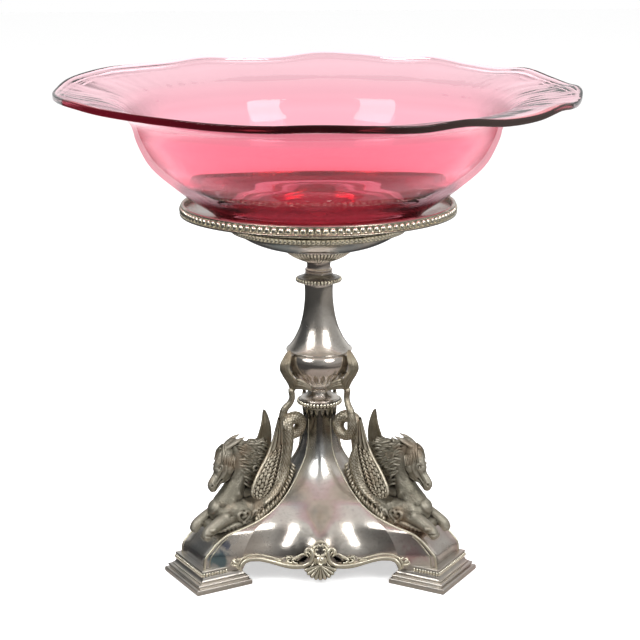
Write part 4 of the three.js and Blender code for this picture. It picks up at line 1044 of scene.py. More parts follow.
# Dish: a spun pan with a deep centre and a sloping plate, with beaded mouldings soldered
# round its edge and under the plate.
RIM_BEADS = 124
PAN_BEADS = 120
DISH_TOP = 189.0
DISH_STAINS = [
    ((-0.020, -0.038, 0.1925), 0.014, (0.12, 0.175, 0.19)),
    ((0.016, -0.040, 0.1930), 0.013, (0.13, 0.16, 0.17)),
    ((0.0, -0.030, 0.190), 0.006, (0.36, 0.22, 0.21)),
]
dish_silver = polished_silver("dish silver", stain=1.3, tone=0.8, stains_and_shade=DISH_STAINS)
dish_profile = bored(COLLAR_TOP, [
    (17.4, 187.2), (24, 187.7), (31, 189.3), (36.5, 191.2), (41.5, 193.6), (45.5, 196.2), (48.0, 198.9),
    (49.0, 201.2), (49.0, 201.2), (58, 203.7), (70, 207.0), (75.8, 208.7), (75.8, 208.7), (75.9, 209.5),
    (75.8, 210.5), (75.8, 210.5), (70, 208.9), (58, 205.5), (49.8, 203.2), (47.4, 201.6), (46.0, 199.2),
    (43.8, 197.0), (40.0, 194.9), (35.0, 192.5), (29.0, 190.5), (23.5, 189.4), (16.8, 189.0),
    (16.8, 189.0),
], DISH_TOP, 5)
add_piece("spun_dish", turned(dish_profile, 240), dish_silver, "polished_plate", "dish")

rim_profile = curve([
    (76.0, 208.4), (76.0, 208.4), (78.6, 208.2), (79.0, 208.5), (79.0, 209.0), (78.7, 209.3),
    (78.7, 209.3), (77.9, 209.6), (77.5, 211.0), (77.7, 212.6), (77.7, 212.6), (78.2, 212.9),
    (78.4, 213.4), (78.1, 213.9), (77.3, 214.2), (76.5, 214.0), (76.5, 214.0), (76.1, 213.2),
    (76.0, 212.0), (76.0, 212.0), (76.0, 208.4),
], 3)[:-1]
add_piece("rim_moulding", turned(rim_profile, 240), bead_silver, "moulding", "rim_beading")
rim_beads = bead_ring(RIM_BEADS, 77.75, 211.05, (1.72, 1.55, 1.95), lean=0.06)
add_piece("rim_beads", rim_beads, bead_silver, "moulding")

pan_profile = curve([
    (49.2, 201.2), (49.2, 201.2), (49.0, 200.6), (49.0, 198.2), (49.0, 198.2), (50.2, 198.0),
    (50.5, 198.4), (50.3, 199.0), (50.3, 200.6), (50.8, 201.2), (50.8, 201.2), (49.2, 201.2),
], 3)[:-1]
add_piece("pan_moulding", turned(pan_profile, 160), bead_silver, "moulding", "pan_beading")
add_piece("pan_beads", bead_ring(PAN_BEADS, 50.3, 199.8, (1.18, 1.1, 1.25)), bead_silver, "moulding")


# Sea horses: one cast horse screwed to the ridge of each leg, fused from rounded limbs, with
# its hooves over the end of the leg, curled hair down its flanks and a mane of thick locks.
PERCH = np.array((60.0, 0.0, 31.1))
LEG_END = 83
VOXEL = 0.48
POLL = np.array((1.2, 47.0))
HEAD_ALONG = np.array((0.397, -0.918))
HEAD_OUT = np.array((0.918, 0.397))
HEAD = [
    (-1.5, 1.0, -2.0, 2.0), (1, 2.6, -4.2, 3.2), (4, 3.4, -6.0, 4.0), (7, 3.9, -7.2, 4.4),
    (10, 4.0, -8.2, 4.5), (13, 3.6, -9.0, 4.4), (16, 3.2, -9.0, 4.0), (18.3, 2.8, -7.6, 3.5),
    (20.5, 2.7, -5.2, 3.0), (22.8, 3.2, -4.2, 2.9), (25, 3.1, -4.1, 2.8), (26.8, 1.2, -3.4, 2.2),
]
TORSO = [
    (-24, 0, 15, 5.7, 4.8), (-16, 0, 10, 9.1, 7.2), (-7, 0, 7.6, 11.0, 8.6), (1, 0, 8, 11.2, 9.4),
    (7, 0, 9.6, 8.8, 8.0), (9.8, 0, 11.4, 5.2, 5.2),
]
BELLY = [
    (-22, 0, 8.5, 6.0, 4.4), (-12, 0, 4.0, 9.2, 4.8), (-2, 0, 2.0, 10.6, 4.6), (7, 0, 1.0, 10.6, 4.4),
    (13.5, 0, 0.0, 9.4, 3.4),
]
BACK = [(-7, 0, 17, 5.5, 4.6), (-13, 0, 17.5, 5.2, 3.8), (-20, 0, 18.5, 4.6, 3.6), (-28, 0, 24, 4.0, 3.4)]
NECK = [
    (2, 0, 12, 8.0, 8.6), (-2.2, 0, 20, 6.6, 6.4), (-5.3, 0, 28.5, 4.9, 5.2), (-5.5, 0, 37, 4.1, 4.8),
    (-3.4, 0, 44, 3.5, 4.2), (-1, 0, 47.4, 2.6, 2.8),
]
MANE = [
    (-1, 0, 48.4, 2.2, 1.6), (-6, 0, 46.8, 3.0, 2.8), (-9.2, 0, 42.5, 3.2, 3.4),
    (-10.6, 0, 37, 3.2, 3.7), (-11.0, 0, 31, 3.2, 3.7), (-10.9, 0, 25.5, 3.0, 3.2),
    (-10.6, 0, 19, 2.2, 2.4),
]
MANE_BACK = [
    (-6, 0, 42, 2.6, 4.5), (-12, 0, 41, 2.3, 5.6), (-17, 0, 43, 1.7, 3.6), (-22.4, 0, 46.2, 0.8, 1.0),
]
MANE_EDGE = [(26, -12.6), (29, -16.0), (32, -19.6), (38, -22.6), (43, -24.8), (47.5, -26.0)]
FORELEG = [
    (2, 6.0, 6.6, 4.7, 5.3), (8.5, 7.0, 4.7, 4.0, 4.3), (14.2, 7.5, 2.3, 3.5, 3.4),
    (18.2, 7.7, -0.3, 3.4, 3.1), (19.8, 7.7, -3.0, 3.2, 2.7),
]
EAR = [
    (2.0, 2.4, 46.4, 1.4, 1.1), (-1.6, 3.0, 48.6, 1.9, 1.0), (-5.2, 3.3, 50.2, 1.4, 0.9),
    (-8.8, 3.2, 51.2, 0.35, 0.35),
]
CREST = [(-3.4, 47.8), (-6.4, 45.4), (-8.4, 41.6), (-9.4, 37), (-9.8, 32), (-9.8, 27), (-9.8, 21)]
CREST_LOCKS = 16
LOCK_ROWS = 10
FORELOCKS = 8
TUFTS = [
    [(-8.6, 0.6, 44.6, 1.6, 1.3), (-11.2, 1.2, 46.8, 1.1, 0.9), (-12.9, 1.4, 49.0, 0.3, 0.3)],
    [(4.4, 0, 45.4, 1.4, 0.9), (6.0, 0, 46.0, 1.1, 0.8), (6.6, 0, 45.0, 0.6, 0.5)],
    [(-13.5, 0, 46.5, 1.6, 1.4), (-17.8, 0.6, 46.4, 1.2, 1.0), (-22.0, 0.4, 47.6, 0.5, 0.5)],
]


def on_head(along, out, side=0.0):
    """A point given along the face from the poll, out towards the forehead, and sideways."""
    x, z = POLL + HEAD_ALONG * along + HEAD_OUT * out
    return (x, side, z)


def fused(shape, voxel, rounds):
    """One smooth skin round closed bodies that run into each other."""
    skin = ("REMESH", {"mode": "VOXEL", "voxel_size": voxel})
    return modified(shape, skin, ("SMOOTH", {"factor": 0.5, "iterations": rounds}))


def marked(shape, marks, sideways=0.35):
    """Raises or presses lines in a skin, alike on both sides: path, width and height."""
    place = shape.points * (1, sideways, 1)
    place[:, 1] = np.abs(place[:, 1])
    lift = np.zeros(len(place))
    for path, width, height in marks:
        run = curve([tuple(point) for point in path], 4) * (1, sideways, 1)
        nearest = np.full(len(place), 1e9)
        for a, b in zip(run, run[1:]):
            span = b - a
            share = np.clip((place - a) @ span / (span @ span), 0, 1)
            nearest = np.minimum(nearest, np.linalg.norm(place - a - share[:, None] * span, axis=1))
        lift += height * np.exp(-((nearest / width) ** 2))
    return Shape(shape.points + normals(shape) * lift[:, None], shape.faces)


def ridge_height(reach):
    """Height of the ridge of a leg at a distance from the stem."""
    return np.interp(reach, sweep_up[::-1, 1], sweep_up[::-1, 0])


def on_face(*places):
    """A line over the face, each point given as on_head takes it."""
    return [on_head(*place) for place in places]


def ringed(along, out, side, long, high):
    """A small oval line on the face, as round an eye."""
    turns = np.arange(9) * math.pi / 4
    return on_face(*((along + long * math.cos(t), out + high * math.sin(t), side) for t in turns))


def face_marks():
    """Eyes, brows, nostrils, mouth and cheeks: each a line, its width and its height."""
    return [
        (ringed(13.2, 1.5, 4.4, 1.6, 1.2), 0.42, 0.6),
        (on_face((13.2, 1.5, 4.4), (13.3, 1.5, 4.4)), 0.9, -0.7),
        (on_face((10.6, 2.6, 4.3), (13.2, 3.4, 4.3), (16.0, 2.4, 4.2)), 0.55, 0.6),
        (ringed(24.6, 1.6, 2.8, 0.9, 0.8), 0.4, 0.5),
        (on_face((24.4, 1.6, 2.9), (24.9, 1.7, 2.9)), 0.5, -0.8),
        (on_face((19.4, -2.6, 3), (23.0, -1.7, 2.9), (27.5, -1.6, 0)), 0.45, -0.9),
        (on_face((15.5, 1.2, 4.2), (19, 1.2, 3.2), (23.0, 1.9, 2.9)), 0.5, 0.5),
        (on_face((15.0, -0.6, 4.4), (18.5, -0.6, 3.4), (21.5, -0.2, 3.0)), 0.45, -0.4),
        (on_face((7.5, -6.4, 4.2), (11.5, -8.6, 4.2), (16.2, -8.8, 3.6), (19.3, -6.0, 3)), 0.6, 0.5),
        (on_face((11.0, -1.6, 4.6), (14.0, -2.6, 4.6), (17.5, -2.4, 3.6)), 0.6, 0.4),
    ]


BODY_MARKS = [
    ([(-7.6, 4.3, 33), (-5, 4.6, 29), (-1.8, 4.8, 26)], 1.1, -0.2),
    ([(1.5, 9, 16), (5.5, 9.6, 12), (7.5, 9.5, 8.5)], 1.6, 0.45),
    ([(-1.0, 9, 12), (2.0, 9.6, 9.6), (5.0, 9.8, 7.6)], 1.2, -0.25),
    ([(-2.5, 8, 19), (-5.5, 9, 15), (-9, 10, 12.5)], 1.5, 0.5),
    ([(15.6, 11.0, 1.6), (17.6, 11.2, 1.9)], 0.7, 0.6),
    ([(15.2, 11.2, -1.9), (21.0, 11.2, -0.9)], 0.45, -0.5),
    ([(14.8, 11.2, -3.9), (21.0, 11.2, -3.0)], 0.4, -0.35),
    ([(18.6, 7.7, -2.6), (21.8, 7.7, -3.2), (20.4, 7.7, -8.0)], 0.45, -0.7),
    ([(12.0, 11.0, 7.4), (16.0, 11.4, 4.8), (19.0, 11.4, 3.0)], 0.5, 0.35),
    ([(-3.2, 11, 8.6), (-1.2, 11, 9.4), (0.4, 11, 8.0), (-0.2, 11, 5.6), (-2.2, 11, 3.6), (-3.6, 11, 2.4)],
     0.62, 1.15),
    ([(-3.6, 11, 2.4), (-5.6, 11, 4.8), (-7.0, 11, 7.0), (-6.2, 11, 9.0), (-4.4, 11, 9.2), (-3.4, 11, 7.8)],
     0.62, 1.15),
    ([(-4.4, 11, 6.6), (-2.6, 11, 6.2)], 0.6, 0.9),
]


def hair_marks():
    """Curled hooks of hair along the flank, and short strokes along the belly."""
    marks = []
    for k in range(7):
        x, z = -9.5 - 2.1 * k, 8.6 + 0.85 * k
        hook = [(1.5, -4.4), (0.2, -1.6), (-1.4, 0), (-2.4, -1.3), (-1.5, -2.4)]
        marks.append(([(x + along, 10, z + up) for along, up in hook], 0.55, 0.95))
    for k in range(6):
        x = 0.5 + 2.4 * k
        stroke = [(x, 10, -0.6 - 0.4 * k), (x + 1.6, 10, 2.0 - 0.5 * k), (x + 3.4, 10, 1.0 - 0.6 * k)]
        marks.append((stroke, 0.5, 0.3))
    return marks


def horse_body():
    """Limbs fused into one skin, chased with the marks, painted lighter and darker by region, and cut flat
    where it lies on the ridge.
    """
    head = []
    for along, front, back, half in HEAD:
        x, _, z = on_head(along, (front + back) / 2)
        head.append((x, 0, z, half, (front - back) / 2))
    limbs = [(TORSO, 32), (BACK, 20), (BELLY, 32), (NECK, 28), (head, 28, 3), (MANE, 20), (MANE_BACK, 20)]
    parts = [strand(*limb) for limb in limbs]
    cheek_lean = (HEAD_ALONG[0], 0, HEAD_ALONG[1])
    parts.append(bead(on_head(12.2, -4.6), (5.0, 4.4, 4.9), 24, 14, lean=cheek_lean))
    parts.append(bead((4.6, 0, 12.2), (7.0, 6.0, 6.4), 24, 14))
    for side in (-1, 1):
        for stations, sides in ((FORELEG, 20), (EAR, 12)):
            parts.append(strand([(x, side * y, z, a, b) for x, y, z, a, b in stations], sides))
    skin = fused(gather(parts), VOXEL, 4)
    skin = marked(skin, face_marks() + BODY_MARKS + hair_marks())
    skin = worn(skin, 0.36, 7)
    x, _, z = skin.points.T
    # Painted light and shade: the chest and neck darker, and the flank and brow lighter, as the light falls
    # on them.
    painted_chest_shade = 0.16 * np.exp(-(((x - 3) / 8) ** 2) - ((z - 19) / 9) ** 2)
    flank = 0.2 * np.exp(-(((x + 7) / 9) ** 2) - ((z - 5) / 5) ** 2)
    painted_brow_light = 0.1 * np.exp(-(((x - 9) / 8) ** 2) - ((z - 36) / 9) ** 2)
    skin.depth = np.clip(skin.depth + painted_chest_shade - flank - painted_brow_light, 0, 1)
    points = skin.points + PERCH
    half = np.interp(points[:, 0], sweep_up[::-1, 1], sweep_up[::-1, 2])
    over = (points[:, 0] < LEG_END) & (np.abs(points[:, 1]) < half)
    floor_height = ridge_height(points[:, 0]) - 0.4
    points[:, 2] = np.where(over, np.maximum(points[:, 2], floor_height), points[:, 2])
    return Shape(points, skin.faces, skin.depth)


def lock(path, sides=6):
    """A lock of hair, with painted shade: darker on its upper and under faces, lighter along its sides."""
    made = strand(path, sides, 3)
    return Shape(made.points, made.faces, 0.2 + 0.5 * np.abs(round_strand(made, sides)) ** 1.5)


def straying(start, size, gap, count):
    """How far the points of a lock stray, the same for the same lock each time."""
    return [size * noise.noise(Vector(start) + Vector((0, 0, gap * j))) for j in range(count)]


def crest_locks(side):
    """Curled locks that lie across the crest of the neck."""
    crest = curve(CREST, 8)
    parts = []
    for k in range(3, CREST_LOCKS):
        share = k / (CREST_LOCKS - 1)
        x, z = crest[round(share * (len(crest) - 1))]
        a, b, c = straying((k * 3.1, side * 5.0, 1.7), 2.2, 7.0, 3)
        size = 1.0 - 0.3 * share
        front = 5.2 if k % 2 else 3.0
        parts.append(lock([
            (x + front * size + a, side * 3.2, z + 2.6 + b, 0.3, 0.3),
            (x + 2.2 + a, side * (4.2 + 0.3 * (k % 2)), z + 2.4 + b, 0.75, 0.7),
            (x - 0.8 + b, side * (4.5 + 0.3 * (k % 2)), z + 0.6 + c, 0.95, 0.8),
            (x - 3.6 * size + c, side * 3.7, z - 0.4 + a, 0.9, 0.8),
            (x - 5.6 * size + c, side * 2.4, z - 2.4 + b, 0.65, 0.6),
            (x - 4.8 * size, side * 1.7, z - 3.8 + b, 0.25, 0.25),
        ]))
    return parts


def blown_locks(side):
    """Rows of longer locks that blow back towards the wings."""
    edge_z, edge_x = np.array(MANE_EDGE).T
    parts = []
    for row in range(LOCK_ROWS):
        z = 46.0 - 1.95 * row
        far = np.interp(z, edge_z, edge_x)
        for x in np.arange(-7.0 - 1.6 * (row % 2), far + 3.2, -3.1):
            a, b, c = straying((x * 0.9, z * 0.9, side * 4.0), 2.6, 9.0, 3)
            deep = 1.0 + 3.0 * (x - far + 2) / (9 - far)
            up = 1.3 + c if row % 3 else -1.2 + c
            parts.append(lock([
                (x + 3.4, side * (deep - 0.2), z + 0.6 + a, 0.5, 0.4),
                (x + 1.6, side * (deep + 0.9), z + 0.7 + b, 1.1, 0.85),
                (x - 0.4, side * (deep + 1.3), z + a * 0.6, 1.35, 1.0),
                (x - 2.2, side * (deep + 1.1), z - 0.8 + c * 0.5, 1.2, 0.9),
                (x - 3.8, side * (deep + 0.7), z - 0.9 + up * 0.4, 0.8, 0.65),
                (x - 5.4 + a * 0.5, side * deep, z - 0.6 + up, 0.2, 0.2),
            ], 8))
    return parts


def forelocks(side):
    """Locks that fall from the poll over the brow and the cheek."""
    parts = []
    for k in range(FORELOCKS):
        top = on_head(0.2 + 0.35 * k, 2.8 - 1.05 * k, side * (0.5 + 0.1 * k))
        a, b = straying((k * 2.7, side * 3.0, 5.1), 2.2, 7.0, 2)
        falls = [
            (2.6, 2.9, 2.3, 0.95), (5.2, 3.0 + 0.5 * a, 3.7, 1.0), (8.2, 2.5 + 0.5 * b, 4.3, 0.8),
            (10.8 - 0.4 * k, 2.4 + 0.5 * a, 4.4, 0.25),
        ]
        path = [(*top, 0.6, 0.5)]
        for along, out, away, size in falls:
            path.append((*on_head(along + 0.3 * k, out - 1.25 * k, side * away), size, size * 0.75))
        parts.append(lock(path, 8))
    return parts


def mane():
    """All the locks of both sides, three loose tufts and the balls of the eyes."""
    parts = []
    for side in (-1, 1):
        parts += crest_locks(side) + blown_locks(side) + forelocks(side)
    parts += [lock(tuft, 10) for tuft in TUFTS]
    parts += [bead(on_head(13.2, 1.5, side * 4.25), (0.8, 0.7, 0.7), 12, 8) for side in (-1, 1)]
    return gather(parts).moved(PERCH)


cast_horse = worn_relief(
    "cast horse metal", (0.40, 0.375, 0.31), (0.23, 0.215, 0.17), (0.05, 0.043, 0.033),
    rough=0.5, grain=900.0, warm=0.55)
cast_scales = worn_relief(
    "cast scales and feathers", (0.53, 0.485, 0.39), (0.27, 0.24, 0.18), (0.05, 0.04, 0.03),
    rough=0.4, warm=0.4)
horse = horse_body() + mane()
for side, azimuth in LEGS.items():
    add_piece(f"cast_horse_{side}", horse.turned(azimuth), cast_horse, "cast_plate",
              f"sea_horse_{side}", sharp=70)


# Wings: two cast wings soldered to each horse's shoulders, with a raised leading edge, rows of
# scale feathers, barred feathers behind them, and long plain feathers up to the tip.
WING_LEAD = [
    (-8.6, 17.2), (-7.2, 19.6), (-8.4, 24.2), (-11.4, 29.6), (-14.8, 34.2), (-18.4, 38.6), (-21.4, 43.2),
    (-23.6, 48.2), (-25.2, 53.0), (-26.4, 57.4), (-27.4, 61.4),
]
WING_TRAIL = [
    (-15.6, 15.0), (-20.6, 17.0), (-24.6, 20.6), (-27.0, 26.4), (-28.8, 32.4), (-30.4, 38.4),
    (-31.2, 44.2), (-31.2, 49.0), (-30.6, 53.6), (-29.6, 58.0), (-28.4, 61.2),
]
WING_DEPTH = 1.3
WING_LONG = 190
WING_BROAD = 84
WING_SPLIT = 0.52
FEATHER_LONG = 3.1
FEATHER_BROAD = 2.3


def line_at(value, middle, width):
    """1 on the middle of a rounded line and 0 beside it."""
    return np.exp(-(((value - middle) / width) ** 2))


def share_of(value, low, high):
    """0 at low, 1 at high, and straight in between."""
    return np.clip((value - low) / (high - low), 0, 1)


def wing_relief(u, v):
    """Height of the feathers at shares of the way to the tip and back from the leading edge."""
    long, broad = u * 50.0, v * (6.0 + 12.0 * np.sin(math.pi * np.clip(u * 0.9 + 0.12, 0, 1)))
    row = np.floor(broad / FEATHER_BROAD)
    along = (long / FEATHER_LONG + 0.5 * (row % 2)) % 1.0
    middle = (broad / FEATHER_BROAD) % 1.0 - 0.5
    feather = np.clip(1.15 - (2.1 * middle) ** 2 - 1.3 * along**3, 0, 1) ** 0.5
    covert = feather * (0.95 - 0.25 * line_at(middle, 0, 0.1))
    band = (v * 3.6) % 1.0 - 0.5
    bars = 0.5 + 0.5 * np.cos((long / 1.9 + np.abs(band) * 2.0) * 2 * math.pi)
    barred = 0.6 * line_at(band, 0, 0.12) + 0.85 * bars * np.clip(1 - (2 * np.abs(band)) ** 4, 0, 1)
    strip = (v * 3.4 + u * 0.9) % 1.0
    plain = 0.75 * np.sin(math.pi * strip) ** 0.6 + 0.22 * line_at(strip, 0.5, 0.09)
    lower = share_of(u, 0.56, 0.52)
    shoulder = share_of(v, WING_SPLIT, WING_SPLIT - 0.04) * lower
    upper = np.clip((u - 0.52 - v * 0.1) / 0.04, 0, 1)
    body = shoulder * covert + (1 - shoulder) * (upper * plain + (1 - upper) * barred)
    seam = line_at(v, WING_SPLIT, 0.03) * lower
    inside = share_of(v, 0.09, 0.12) * share_of(v, 0.985, 0.955)
    return (line_at(v, 0.05, 0.045) + 0.5 * seam + body * inside) * np.clip((1 - u) / 0.06, 0.25, 1)


def evened(points, count):
    """A smooth run through the points, as many points as asked for."""
    run = curve(points, 20)
    at = np.linspace(0, 1, len(run))
    return [np.interp(np.linspace(0, 1, count), at, run[:, k])[:, None] for k in (0, 1)]


def wing_shape():
    """A thin bowed wing with its feathers outside and plain grooves on the side next the neck."""
    lead_x, lead_z = evened(WING_LEAD, WING_LONG)
    trail_x, trail_z = evened(WING_TRAIL, WING_LONG)
    u, v = np.meshgrid(np.linspace(0, 1, WING_LONG), np.linspace(0, 1, WING_BROAD), indexing="ij")
    x = lead_x + (trail_x - lead_x) * v
    z = lead_z + (trail_z - lead_z) * v
    side = np.interp(u, (0, 0.3, 0.6, 0.8, 1), (11.9, 10.2, 7.6, 7.4, 8.4))
    side = side - 2.6 * v * (1 - u) + 0.9 * np.sin(math.pi * v)
    depth = WING_DEPTH * (1 - 0.4 * u) * np.clip(np.sin(math.pi * np.clip(v, 0.02, 0.98)) * 3, 0.25, 1)
    relief = wing_relief(u, v)
    front = np.stack([x, side + depth + relief, z], axis=-1)
    back = np.stack([x, side - 0.25 * np.abs(np.sin(v * 3.4 * math.pi)), z], axis=-1)[:, ::-6]
    rings = np.concatenate([front, back], axis=1)
    dark = np.concatenate([0.98 - 0.8 * np.clip(relief, 0, 1), np.full(back.shape[:2], 0.5)], axis=1)
    count = rings.shape[1]
    faces = grid_faces(WING_LONG, count)
    total = WING_LONG * count
    faces += [list(range(count)), list(range(total - count, total))[::-1]]
    return Shape(rings.reshape(-1, 3) + PERCH, faces, dark)


wings = {"a": wing_shape(), "b": wing_shape().mirrored()}
for side, azimuth in LEGS.items():
    for which, wing in wings.items():
        add_piece(f"cast_wing_{side}_{which}", wing.turned(azimuth), cast_scales, "cast_plate",
                  f"wing_{side}_{which}", sharp=80)


# Tails: each tail rises from the rump between the wings, turns once round in a loop beside
# the column and narrows to a waist, with cross-cut scales all over and a leafy fringe below.
TAIL_SIDES = 44
SCALE_PITCH = 2.1
SCALES_ROUND = 11
LOOP_REACH = 18.2
LOOP_RADIUS = 5.4
LOOP_SHIFT = 3.1
LOOP_HEIGHT = COLUMN_TOP - 10.7
LOOP_TURNS = 12
LOOP_START = -0.45
LOOP_SWEEP = 2 * math.pi + 0.62
FRINGE = [
    (-9.5, 11.4, 2.2), (-15, 10.8, 5.2), (-21, 9.8, 8.4), (-27, 8.4, 11.6), (-32.5, 6.8, 16.4),
    (-36.8, 5.4, 22.4), (-39.6, 4.4, 29.6),
]
FRINGE_LEAVES = 22
FRINGE_LEAF = [(0, 0.7, 0.5), (0.35, 1.0, 0.8), (0.7, 0.9, 0.75), (1.0, 0.3, 0.35)]
RUMP = [
    (-12, 0, 7.6, 9.4, 3.4), (-19, 0, 10.2, 9.0, 4.0), (-25.4, 0, 13.8, 8.2, 4.6),
    (-30.6, 0, 18.8, 7.0, 4.9), (-34.0, 0, 25.2, 5.9, 4.7), (-35.4, 0, 31.6, 4.8, 4.1),
    (-34.4, 0, 38.5, 3.0, 2.6), (-33.2, 0, 43.0, 1.2, 1.2),
]


def tail_stations():
    """From the rump up beside the column, once round in the loop, and up to the fin."""
    stations = [
        (36.6, 0, 45.7, 6.4, 5.2), (32.4, 0.2, 50.4, 5.8, 4.9), (28.2, 0.8, 58.0, 4.8, 4.4),
        (LOOP_REACH + LOOP_RADIUS + 1.2, LOOP_SHIFT * 0.9, PERCH[2] + 36, 3.8, 3.7),
    ]
    for i in range(LOOP_TURNS + 1):
        angle = LOOP_START + i / LOOP_TURNS * LOOP_SWEEP
        thin = 3.6 - 0.9 * (i / LOOP_TURNS) ** 2
        shift = LOOP_SHIFT * (1 - 2 * i / LOOP_TURNS)
        x, z = LOOP_REACH + LOOP_RADIUS * math.cos(angle), LOOP_HEIGHT + LOOP_RADIUS * math.sin(angle)
        stations.append((x, shift, z, thin, thin))
    return stations + [
        (LOOP_REACH + 4.2, -LOOP_SHIFT * 0.8, 92.1, 2.1, 2.1),
        (LOOP_REACH + 1.4, -LOOP_SHIFT * 0.3, 96.3, 1.8, 1.8),
        (LOOP_REACH + 0.2, 0, 99.9, 1.7, 1.7), (LOOP_REACH + 0.6, 0, 104.1, 1.8, 1.8),
    ]


def lengths(run):
    """How far along a run each of its points lies."""
    return np.concatenate([[0], np.cumsum(np.linalg.norm(np.diff(run, axis=0), axis=1))])


def scaled(stations):
    """Overlapping pointed scales, whose rows follow a strand's length."""
    tube = strand(stations, TAIL_SIDES, 11)
    grid = tube.points.reshape(-1, TAIL_SIDES, 3)
    centres = grid.mean(axis=1)
    across = np.arange(TAIL_SIDES) / TAIL_SIDES * SCALES_ROUND
    rows = lengths(centres)[:, None] / SCALE_PITCH
    a, b = (rows + across) % 1.0, (rows - across) % 1.0
    cut = np.minimum(np.minimum(a, 1 - a), np.minimum(b, 1 - b))
    raised_scale = np.clip(cut / 0.26, 0, 1) ** 0.7
    out = grid - centres[:, None]
    size = np.linalg.norm(out, axis=2, keepdims=True)
    height = (0.5 * raised_scale - 0.3)[..., None] * np.clip(size / 2.4, 0, 1)
    grid = grid + out / np.maximum(size, 0.4) * height
    return Shape(grid.reshape(-1, 3), tube.faces, 0.86 - 0.64 * raised_scale)


def leafy_fringe():
    """Small upright leaves stand in a row along each rib beside the tail."""
    parts = []
    edge = curve(FRINGE, 12)
    length = lengths(edge)
    for k in range(FRINGE_LEAVES):
        at = (k + 0.5) / FRINGE_LEAVES * length[-1]
        spot, next_spot = (np.array([np.interp(here, length, edge[:, j]) for j in range(3)])
                           for here in (at, at + 1))
        ahead = (next_spot - spot) / np.linalg.norm(next_spot - spot)
        up = np.array((ahead[2], 0, -ahead[0])) * -1
        up = up if up[2] > 0 else -up
        size = 1.4 - 0.5 * k / FRINGE_LEAVES
        tall = 3.0 * size * (1.0 if k % 2 else 0.75)
        for side in (-1, 1):
            flip = np.array((1, side, 1))
            path = []
            for share, half, deep in FRINGE_LEAF:
                bulge = np.array((0, 0.9 * share * (1 - share) * 4, 0))
                centre = spot - up * 1.2 + up * tall * share + ahead * (1.6 * share**2 * size) + bulge
                path.append((*(centre * flip), half * size, deep * size))
            leaf = strand(path, 10, 3, wide=ahead * flip)
            parts.append(Shape(leaf.points, leaf.faces, 0.25 + 0.45 * round_strand(leaf, 10, np.cos) ** 2))
    return gather(parts).moved(PERCH)


tail = scaled(tail_stations()) + scaled(RUMP).moved(PERCH) + leafy_fringe()
for side, azimuth in LEGS.items():
    add_piece(f"scaled_tail_{side}", tail.turned(azimuth), cast_scales, "cast_plate",
              f"tail_{side}", sharp=70)


# Tail fins: a forked fin soldered to the end of each tail, one lobe up the cup and a curled
# lobe to each side under it, with grooves along every lobe.
CUP_SIDE = curve([
    (9.2, 105.5), (9.2, 106.3), (10.0, 106.8), (12.1, 108.1), (14.2, 109.9), (15.9, 112.2), (17.3, 114.8),
    (18.5, 116.9), (19.1, 119.5), (19.1, 121.5), (18.9, 123.4), (18.9, 128),
], 4)
FIN_FOOT = 104.2
FIN_TIP = 128.6
FIN_HALF = curve([
    (FIN_FOOT, 1.6), (107, 3.7), (110, 5.2), (112.5, 5.2), (115.5, 4.2), (119, 3.5), (122.5, 3.2),
    (126, 2.2), (FIN_TIP, 0.5),
], 12)
FIN_STANDING = curve([
    (FIN_FOOT, 0), (107, 0.7), (110, 2.3), (113, 4.1), (116, 5.0), (118.8, 4.9), (121.5, 4.1),
    (124.5, 2.6), (127, 1.0), (FIN_TIP, 0.2),
], 8)
NEAREST_REACH = 17.2
ROUNDING = 18
SIDE_LOBES = ((0.0, 1.0), (1.4, 0.9), (-1.4, 0.8), (2.8, 0.8))


def fin_shape():
    """The upright lobe follows the cup and its grooves spread from the tail."""
    rows, columns = 60, 41
    outer, inner = [], []
    for z in np.linspace(FIN_FOOT, FIN_TIP, rows):
        half = np.interp(z, FIN_HALF[:, 0], FIN_HALF[:, 1])
        cup = np.interp(z, CUP_SIDE[:, 1], CUP_SIDE[:, 0])
        reach = (cup**ROUNDING + NEAREST_REACH**ROUNDING) ** (1 / ROUNDING) + 0.3
        share = (z - FIN_FOOT) / (FIN_TIP - FIN_FOOT)
        stand_off = np.interp(z, FIN_STANDING[:, 0], FIN_STANDING[:, 1])
        for column in range(columns):
            s = column / (columns - 1) * 2 - 1
            groove = abs(math.cos(s * (2.4 + share) * math.pi)) ** 0.7
            thick = (1.3 - 0.7 * share) * (1 - 0.5 * s * s) + 0.6 * groove
            angle = s * half / reach
            off = stand_off * (1 - 0.35 * s * s)
            for made, near in ((outer, reach + off + thick), (inner, reach + max(0.0, off - 0.6))):
                made.append((near * math.cos(angle), near * math.sin(angle), z))
    lobes = [closed_sheet(outer, inner, rows, columns)]
    for side in (-1, 1):
        for drop, thick in SIDE_LOBES:
            lobes.append(strand([
                (18.6, side * 0.6, 105.6 + drop * 0.3, 0.9 * thick, 1.3 * thick),
                (17.8, side * 3.8, 108.4 + drop, 1.0 * thick, 1.5 * thick),
                (15.2, side * 7.0, 108.3 + drop * 0.85, 1.0 * thick, 1.3 * thick),
                (10.8, side * 8.8, 106.1 + drop * 0.3, 0.5 * thick, 0.6 * thick),
            ], 12, 5, wide=(1, 0, 0)))
    knot = bead((18.9, 0, 104.4), (2.3, 1.7, 1.5), 16, 10)
    return gather(lobes + [knot])


fin = fin_shape()
for side, azimuth in LEGS.items():
    add_piece(f"cast_fin_{side}", fin.turned(azimuth), cast_scales, "cast_plate",
              f"tail_fin_{side}", sharp=60)


